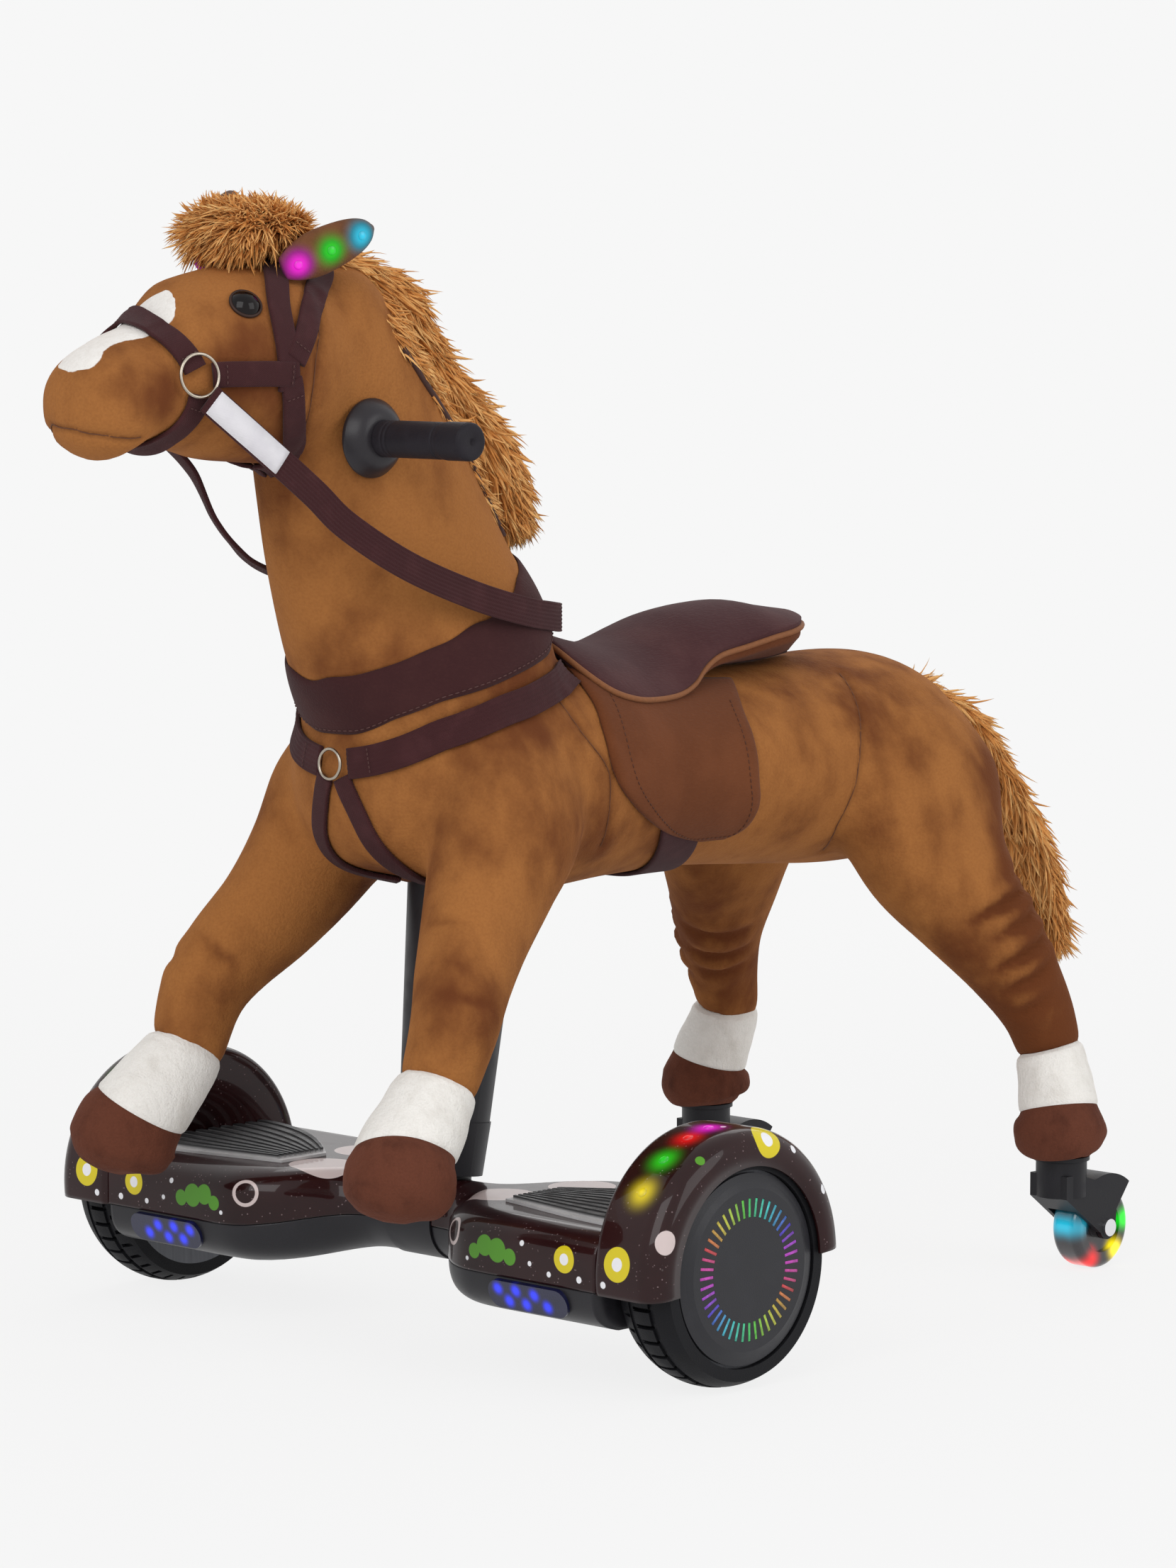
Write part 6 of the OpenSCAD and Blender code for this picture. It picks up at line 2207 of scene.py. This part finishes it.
@dataclass
class BoardHalf:
    """One half of the balance board: printed upper shell with its wheel guard, and black belly."""

    side: Side
    in_x: float = 23.0
    out_x: float = 244.5
    belly_out_x: float = 242.5
    depth: float = 186.0
    waist: float = 56.0
    rise: float = 29.0
    drop: float = 39.0
    deck_power: float = 4.5
    belly_power: float = 4.2
    flat: float = 0.08
    seam_deg: float = 2.8
    wall: float = 2.5
    guard_r: float = GUARD_R
    guard_in_x: float = 243.0
    guard_out_x: float = 300.5
    guard_open_r: float = 70.0
    guard_dip: float = 3.5
    guard_tilt: float = 4.5
    guard_wall: float = 3.0
    guard_foot_r: float = 22.0
    bars: int = 44
    bar_r: float = 35.8
    bar_long: float = 12.4
    bar_half: float = 0.95
    bar_x: float = 297.55
    bar_deep: float = 0.95
    swell_rows: tuple = (
        (0, 0), (0.1, 0.03), (0.18, 0.21), (0.29, 0.71), (0.4, 0.95), (0.54, 1), (0.77, 1), (1, 1)
    )

    def section(self, share: Array, s: Array, top: bool, end_x: float, inset: float) -> Array:
        """Places on the shell.

        The section is a superellipse: a unit direction divided by the n-th root of the sum of its numbers'
        n-th powers, with n and the half sizes growing from the round waist to the boxy tread.

        Args:
            share: shares of the way out from the waist.
            s: shares of the arc, from the back seam to the front one.
            top: whether it is the upper shell.
            end_x: where it ends.
            inset: how far inside the full form.

        Returns:
            Places for every share and s.
        """
        q = row_at(np.array(self.swell_rows, float), share)
        swell = np.clip(q[..., 1], 0, 1)[..., None]
        power = 2 + swell * (self.belly_power - 2)
        dip = np.sin(np.radians(self.seam_deg)) ** (2 / power)
        seam = np.arctan2(dip, np.cos(np.radians(self.seam_deg)) ** (2 / power))
        start = -seam if top else np.pi + seam
        span = np.pi + 2 * seam if top else np.pi - 2 * seam
        angle = start + span * s
        above = np.sin(angle) >= 0
        n = np.where(above, 2 + swell * (self.deck_power - 2), power)
        size = (np.abs(np.cos(angle)) ** n + np.abs(np.sin(angle)) ** n) ** (-1 / n)
        full = np.where(above, self.rise, self.drop)
        wide = self.waist / 2 + swell * (self.depth - self.waist) / 2 - inset
        tall = self.waist / 2 + swell * (full - self.waist / 2) - inset
        z = np.clip(size * np.sin(angle) * (1 + swell * self.flat), -1, 1)
        x = np.broadcast_to(self.in_x + q[..., :1] * (end_x - self.in_x), z.shape)
        return np.stack([x, wide * size * np.cos(angle), AXLE_Z + tall * z], -1)

    def sheet(self, points: Array, name: str) -> Piece:
        """An open grid turned to face outwards and given a wall.

        Args:
            points: the grid.
            name: name of the piece.

        Returns:
            The piece, on this half's side.
        """
        flat = points.reshape(-1, 3)
        faces = grid_faces(*points.shape[:2])
        a, b, c, _ = (flat[faces[:, k]] for k in range(4))
        out = (a + c) / 2 - [150.0, 0.0, AXLE_Z]
        if np.sum(np.cross(b - a, c - a) * out) < 0:
            faces = faces[:, ::-1]
        piece = placed(name, Shape(flat, [faces]).on(self.side).mesh(name))
        wall = piece.modifiers.new("wall", "SOLIDIFY")
        wall.thickness = self.wall * MM
        wall.offset = -1.0
        return piece

    def guard(self) -> Shape:
        """The wheel guard: a rounded channel turned about the axle between two ends on one tilted plane."""
        x_in, x_out, r, wall = self.guard_in_x, self.guard_out_x, self.guard_r, self.guard_wall
        foot = self.guard_foot_r
        loop = np.concatenate(
            [
                [[x_in, foot]], corner(x_in, r, 7, 1), corner(x_out, r, 16, -1)[::-1],
                [[x_out, self.guard_open_r], [x_out - wall, self.guard_open_r]],
                corner(x_out - wall, r - wall, 13, -1), corner(x_in + wall, r - wall, 4, 1)[::-1],
                [[x_in + wall, foot]],
            ]
        )
        x, radius = loop.T[:, None]
        half = np.arccos(-self.guard_dip / radius)
        turn = np.radians(self.guard_tilt) + np.linspace(-1, 1, 110)[:, None] * half
        x = np.broadcast_to(x, turn.shape)
        return skinned(np.stack([x, -radius * np.sin(turn), AXLE_Z + radius * np.cos(turn)], -1))

    def hub_bars(self) -> Shape:
        """Thin light bars in the hub cover's windows, with a hue that runs twice round the wheel."""
        order = np.arange(self.bars)
        a = order * 2 * np.pi / self.bars
        radial = np.stack([0 * a, np.sin(a), -np.cos(a)], 1)[:, None]
        across = np.stack([0 * a, np.cos(a), np.sin(a)], 1)[:, None]
        corners = np.array([[i, j, k] for i in (0, 1) for j in (-1, 1) for k in (0, 1)], float)
        out, beside, deep = corners.T[..., None]
        points = (
            np.array([0.0, 0.0, AXLE_Z])
            + (self.bar_r + self.bar_long * out) * radial
            + self.bar_half * beside * across
            + (self.bar_x + self.bar_deep * deep) * LEFTWARD
        )
        one = np.array(
            [[0, 1, 3, 2], [4, 6, 7, 5], [0, 4, 5, 1], [2, 3, 7, 6], [0, 2, 6, 4], [1, 5, 7, 3]]
        )
        hue = np.repeat((0.36 - order * 2 / self.bars) % 1.0, 8)
        return Shape(points.reshape(-1, 3), [repeated(one, self.bars, 8)], None, {"hue": hue}).outward()

    def belly(self, share: Array, s: Array) -> Array:
        """The lower shell's grid: its arc from the waist outwards, then a cup that closes its end.

        Args:
            share: shares of the way out from the waist.
            s: shares of the arc.

        Returns:
            The grid of places.
        """
        arc = self.section(share, s, False, self.belly_out_x, 0.8) - [0.0, 0.0, 0.6]
        rim = arc[-1:]
        middle = np.array([0.0, rim[..., 1].mean(), rim[..., 2].max()])
        close = np.linspace(1, 0.02, 8)[1:, None, None]
        cup = LEFTWARD * rim + (middle + close * (rim - middle)) * [0.0, 1.0, 1.0]
        return np.concatenate([arc, cup])

    def build(self, shell: PrintedShell, black: Plastic) -> None:
        """Upper shell, guard, belly, lenses and hub bars of this half.

        Args:
            shell: finish of the upper shell and the guard.
            black: finish of the belly.
        """
        word = self.side.word
        body = f"board_{word}"
        share = np.linspace(0, 1, 90)
        s = np.linspace(0, 1, 97)[None, :]
        deck = self.sheet(self.section(share, s, True, self.out_x, 0.0), f"deck_shell_{word}")
        dress(deck, shell, (f"upper_shell_{word}",), body)
        add(f"wheel_guard_{word}", self.guard().on(self.side), shell, (), body)
        under = self.sheet(self.belly(share, s), f"belly_shell_{word}")
        dress(under, black, (f"lower_shell_{word}",), body)
        lamps = guard_lamps(0.011, (1, -1))
        lit = LitPlastic("guard_lens", srgb(60, 60, 58), srgb(44, 44, 42), lamps, 0.25, 0.2, 1.05)
        spots = [from_frame(lamp.place) for lamp in guard_lamps(0.01)]
        lenses = joined([dome(spot, spot - [spot[0], 0.0, AXLE_Z], 3.6, 1.0) for spot in spots])
        nodes = (f"guard_lights_{word}",)
        add(f"guard_lenses_{word}", lenses.on(self.side), lit, nodes, body)
        tints = TintedTicks("hub_bar_tints")
        add(f"hub_bars_{word}", self.hub_bars().on(self.side), tints, (), f"wheel_{word}")


GUARD_ANGLES = ((6.7, MAGENTA), (19, RED), (35, GREEN), (52, YELLOW))


def guard_lamps(reach: float, sides: Sequence[int] = (1,)) -> tuple:
    """The row of lamps over each wheel guard, from top to front.

    Args:
        reach: how far a lamp's glow reaches.
        sides: 1 for the left guard, -1 for the right one.

    Returns:
        The lamps.
    """
    made = []
    for sign in sides:
        for angle, colour in GUARD_ANGLES:
            a = np.radians(angle)
            spot = (sign * GUARD_LAMP_X, -GUARD_R * np.sin(a), AXLE_Z + GUARD_R * np.cos(a))
            made.append((spot, colour))
    return lamps_at(made, reach)


def lens_lamps() -> tuple:
    """Six blue points in each front lamp, in two staggered rows on its leaning face."""
    x, y, z = FRONT_LAMP
    made = []
    for sign in (1, -1):
        for across, up in ((-27, 4), (-10, 4.5), (7, 3.5), (-18, -4), (-2, -4.5), (18, -3.5)):
            made.append(((sign * (x + across), y + FRONT_LEAN[0] * up, z + FRONT_LEAN[1] * up), BLUE))
    return lamps_at(made, 0.0085)


def roller_lamps() -> tuple:
    """Four lamps inside each clear caster roller, seen on both of its faces."""
    inside = ((5, -25, 2, CYAN), (7, -12, -23, RED), (12, 15, -19, YELLOW), (12, 25, 3, GREEN))
    x, y, z = ROLLER
    made = []
    for sign, face in ((1, 1), (1, -1), (-1, 1), (-1, -1)):
        made += [((sign * (x + face * dx), y + dy, z + dz), colour) for dx, dy, dz, colour in inside]
    return lamps_at(made, 0.0165)


@dataclass
class Board:
    """Both halves of the board and the finishes they share."""

    plum: Colour = srgb(42, 17, 18)
    cloud: Colour = srgb(32, 12, 13)
    fleck: Colour = srgb(150, 128, 130)
    motifs: tuple = (
        (131, -93, 86, 5.5, LEAF), (141, -93, 91, 7.5, LEAF), (153, -93, 89, 8.5, LEAF),
        (165, -93, 86, 6.0, LEAF), (104, -88, 96, 9, BLUSH, 1.5), (176, -93, 97, 2.4, CHALK),
        (184, -93, 84, 2.0, CHALK), (124, -91, 80, 2.2, CHALK), (86, -80, 84, 2.4, CHALK),
        (216, -93, 91, 9.5, LEMON), (216, -93, 91, 4.2, CHALK), (230, -93, 79, 2.6, CHALK),
        (202, -93, 79, 2.2, CHALK), (72, -66, 100, 8, LEMON), (72, -66, 100, 3.4, CHALK),
        (303, -84, 112, 10, BLUSH), (304, -88, 94, 6, BLUSH), (266, -93, 94, 12, LEMON),
        (266, -93, 94, 5, CHALK), (285, -90, 84, 3.4, CHALK), (254, -94, 79, 2.8, CHALK),
        (281, -86, 112, 3.0, CHALK), (295, -45, 161, 3.6, LEAF), (297, 18, 168, 13, LEMON),
        (297, 18, 168, 5.6, CHALK), (278, -4, 178, 2.6, CHALK), (297, 44, 158, 3.2, CHALK),
        (300, 74, 128, 4.0, CHALK), (262, 40, 170, 2.6, CHALK), (88, -26, 113, 25, BLUSH),
        (108, 36, 113, 24, BLUSH),
    )

    def build(self) -> None:
        """The two halves."""
        motifs = tuple(Motif(*row) for row in self.motifs)
        shell = PrintedShell("plum_shell", self.plum, self.cloud, self.fleck, motifs, guard_lamps(0.022))
        belly = Plastic("belly_black", srgb(30, 29, 33), srgb(42, 41, 46), 0.42, 1400.0, 0.05)
        for side in Side:
            BoardHalf(side).build(shell, belly)


def finishes() -> dict[str, Finish]:
    """Finish of each record slot whose CAD nodes stay in sight."""
    return {
        "eye_black": Glass("eye_bead", srgb(9, 9, 12)),
        "frame_steel": Metal("frame_grey", srgb(104, 104, 108), 0.42),
        "post_black": Plastic("post_black_plastic", srgb(30, 29, 33), srgb(40, 39, 44), 0.45),
        # The pale second colour is a painted highlight on the ribs' slopes.
        "pad_rubber": RibbedPad("foot_pad_rubber", srgb(20, 20, 22), srgb(200, 199, 200), 0.1126, 0.1156),
        "lamp_blue": LitPlastic(
            "front_lens", srgb(20, 22, 58), srgb(12, 14, 40), lens_lamps(), 0.3, 0.1, 1.6
        ),
        "chassis_alu": Metal("chassis_cast", srgb(172, 174, 178), 0.4),
        "axle_steel": Metal("axle_bright", srgb(196, 197, 200), 0.25),
        "battery_blue": Plastic("battery_wrap", srgb(38, 62, 138), srgb(58, 84, 158), 0.35),
        "board_green": Plastic("circuit_green", srgb(24, 92, 58), srgb(40, 112, 74), 0.35),
        "tyre_black": Rubber("tyre_rubber", srgb(22, 22, 25), srgb(36, 37, 40), 0.35),
        "motor_grey": Metal("motor_shell", srgb(92, 93, 97), 0.4),
        "cover_grey": Plastic("hub_cover_satin", srgb(40, 40, 44), srgb(50, 50, 55), 0.36),
        "caster_black": Plastic("caster_nylon", srgb(19, 18, 23), srgb(31, 30, 36), 0.45),
        "caster_clear": LitPlastic(
            "caster_roller_clear", srgb(44, 40, 44), srgb(30, 28, 32), roller_lamps(), 0.16, 0.5, 2.0
        ),
    }


def finish_nodes(frame: dict) -> None:
    """Gives every CAD node that stays in sight the finish of its slot.
    """
    known = finishes()
    for row in frame["record"]["subparts"]:
        node = frame["nodes"][row["node"]]
        finish = known.get("caster_black" if row["node"] == "caster_stems" else row["material_slot"])
        if finish is None:
            continue
        for slot in node.material_slots:
            slot.material = finish.material()
        LOG.info("%s finished as %s", row["node"], finish.name)


@dataclass
class Studio:
    """Camera at the photograph's place, a pale floor and soft lamps."""

    eye: tuple = (2747.543, -2689.902, 775.43)
    focal_px: float = 7796.6
    ahead: tuple = (-0.69132183, 0.7155193, -0.1005299)
    right: tuple = (0.71916255, 0.69484187, 0.0)
    sensor: float = 36.0
    floor_size: float = 60.0
    pale: Colour = srgb(247, 247, 247)
    sky: float = 0.62

    def put(
        self, name: str, data: bpy.types.ID, place: Array, back: Array, right: Array
    ) -> Piece:
        """An object turned so that its own X axis points right and its Z axis points back.

        Args:
            name: name of the object.
            data: its lamp or camera.
            place: row-frame metres.
            back: unit direction of its Z axis.
            right: unit direction of its X axis.

        Returns:
            The object.
        """
        made = placed(name, data)
        turn = np.stack([right, np.cross(back, right), back], 1)
        made.matrix_world = Matrix.Translation(place) @ Matrix(turn.tolist()).to_4x4()
        return made

    def camera(self) -> None:
        """The camera, its lens from the focal length in pixels over the long side."""
        data = bpy.data.cameras.new("photo_view")
        data.sensor_width = self.sensor
        data.lens = self.focal_px * self.sensor / max(PHOTO_W, PHOTO_H)
        data.clip_end = 200.0
        place = to_frame(np.array(self.eye))
        made = self.put("photo_view", data, place, -np.array(self.ahead), np.array(self.right))
        bpy.context.scene.camera = made

    def lamp(self, name: str, place: tuple, aim: tuple, size: float, watts: float) -> None:
        """One square soft lamp.

        Args:
            name: name of the lamp.
            place: row-frame metres.
            aim: the point it shines at.
            size: length of its side.
            watts: its strength.
        """
        data = bpy.data.lights.new(name, "AREA")
        data.size = size
        data.energy = watts
        back = unit(np.array(place, float) - np.array(aim, float))
        self.put(name, data, np.array(place), back, unit(np.cross(UP, back)))

    def floor(self) -> None:
        """A pale floor that the camera sees almost as bright as the backdrop, with the shadow left in."""
        half = self.floor_size / 2 / MM
        corners = np.array([[-1, -1], [1, -1], [1, 1], [-1, 1]]) * half + [0.0, AXLE_LEAD]
        points = np.concatenate([corners, np.full((4, 1), -0.4)], 1)
        sheet = Shape(points, [np.array([[0, 1, 2, 3]])])
        made = placed("studio_floor", sheet.mesh("studio_floor"))
        sh = Shader("floor_paper")
        sh.set(Base_Color=srgb(240, 240, 240), Roughness=0.9, Specular_IOR_Level=0.1)
        glow = sh.node("Emission", None, {0: self.pale, 1: 1.0})
        far = sh.apart((0.0, 0.0, 0.0)).ramp(0.9, 2.6)
        paper = Wire(sh, sh.body.outputs[0])
        sh.blend(sh.seen() * (far * 0.1 + 0.9), paper, glow, "Material Output")
        made.data.materials.append(sh.material)

    def world(self) -> None:
        """An even sky that the camera and reflections see as the pale backdrop."""
        made = bpy.data.worlds.new("studio")
        bpy.context.scene.world = made
        made.use_nodes = True
        nodes = Nodes(made.node_tree)
        light = nodes.node("Background", None, {0: (1.0, 1.0, 1.0, 1.0), 1: self.sky})
        shown = nodes.node("Background", None, {0: self.pale})
        nodes.blend(nodes.seen(), light, shown, "World Output")

    def build(self) -> None:
        """Everything that isn't the object."""
        bpy.context.scene.view_settings.view_transform = "Standard"
        self.camera()
        self.world()
        self.floor()
        self.lamp("key_lamp", (1.3, -2.9, 2.3), (0, 0, 0.4), 2.2, 46.0)
        self.lamp("side_lamp", (3.0, 0.6, 1.7), (0, 0, 0.4), 2.0, 26.0)
        self.lamp("back_lamp", (-1.6, 2.4, 2.4), (0, 0, 0.5), 2.0, 22.0)


def main() -> None:
    """Builds the studio and the pieces in order."""
    logging.basicConfig(level=logging.INFO, format="%(name)s %(message)s")
    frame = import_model()
    Studio().build()
    skin = Coat().build()
    Feet().build()
    LongHair(skin).build()
    Face().build()
    Tack(skin).build()
    Saddle(skin).build()
    Handles().build()
    Board().build()
    finish_nodes(frame)


if __name__ == "__main__":
    main()
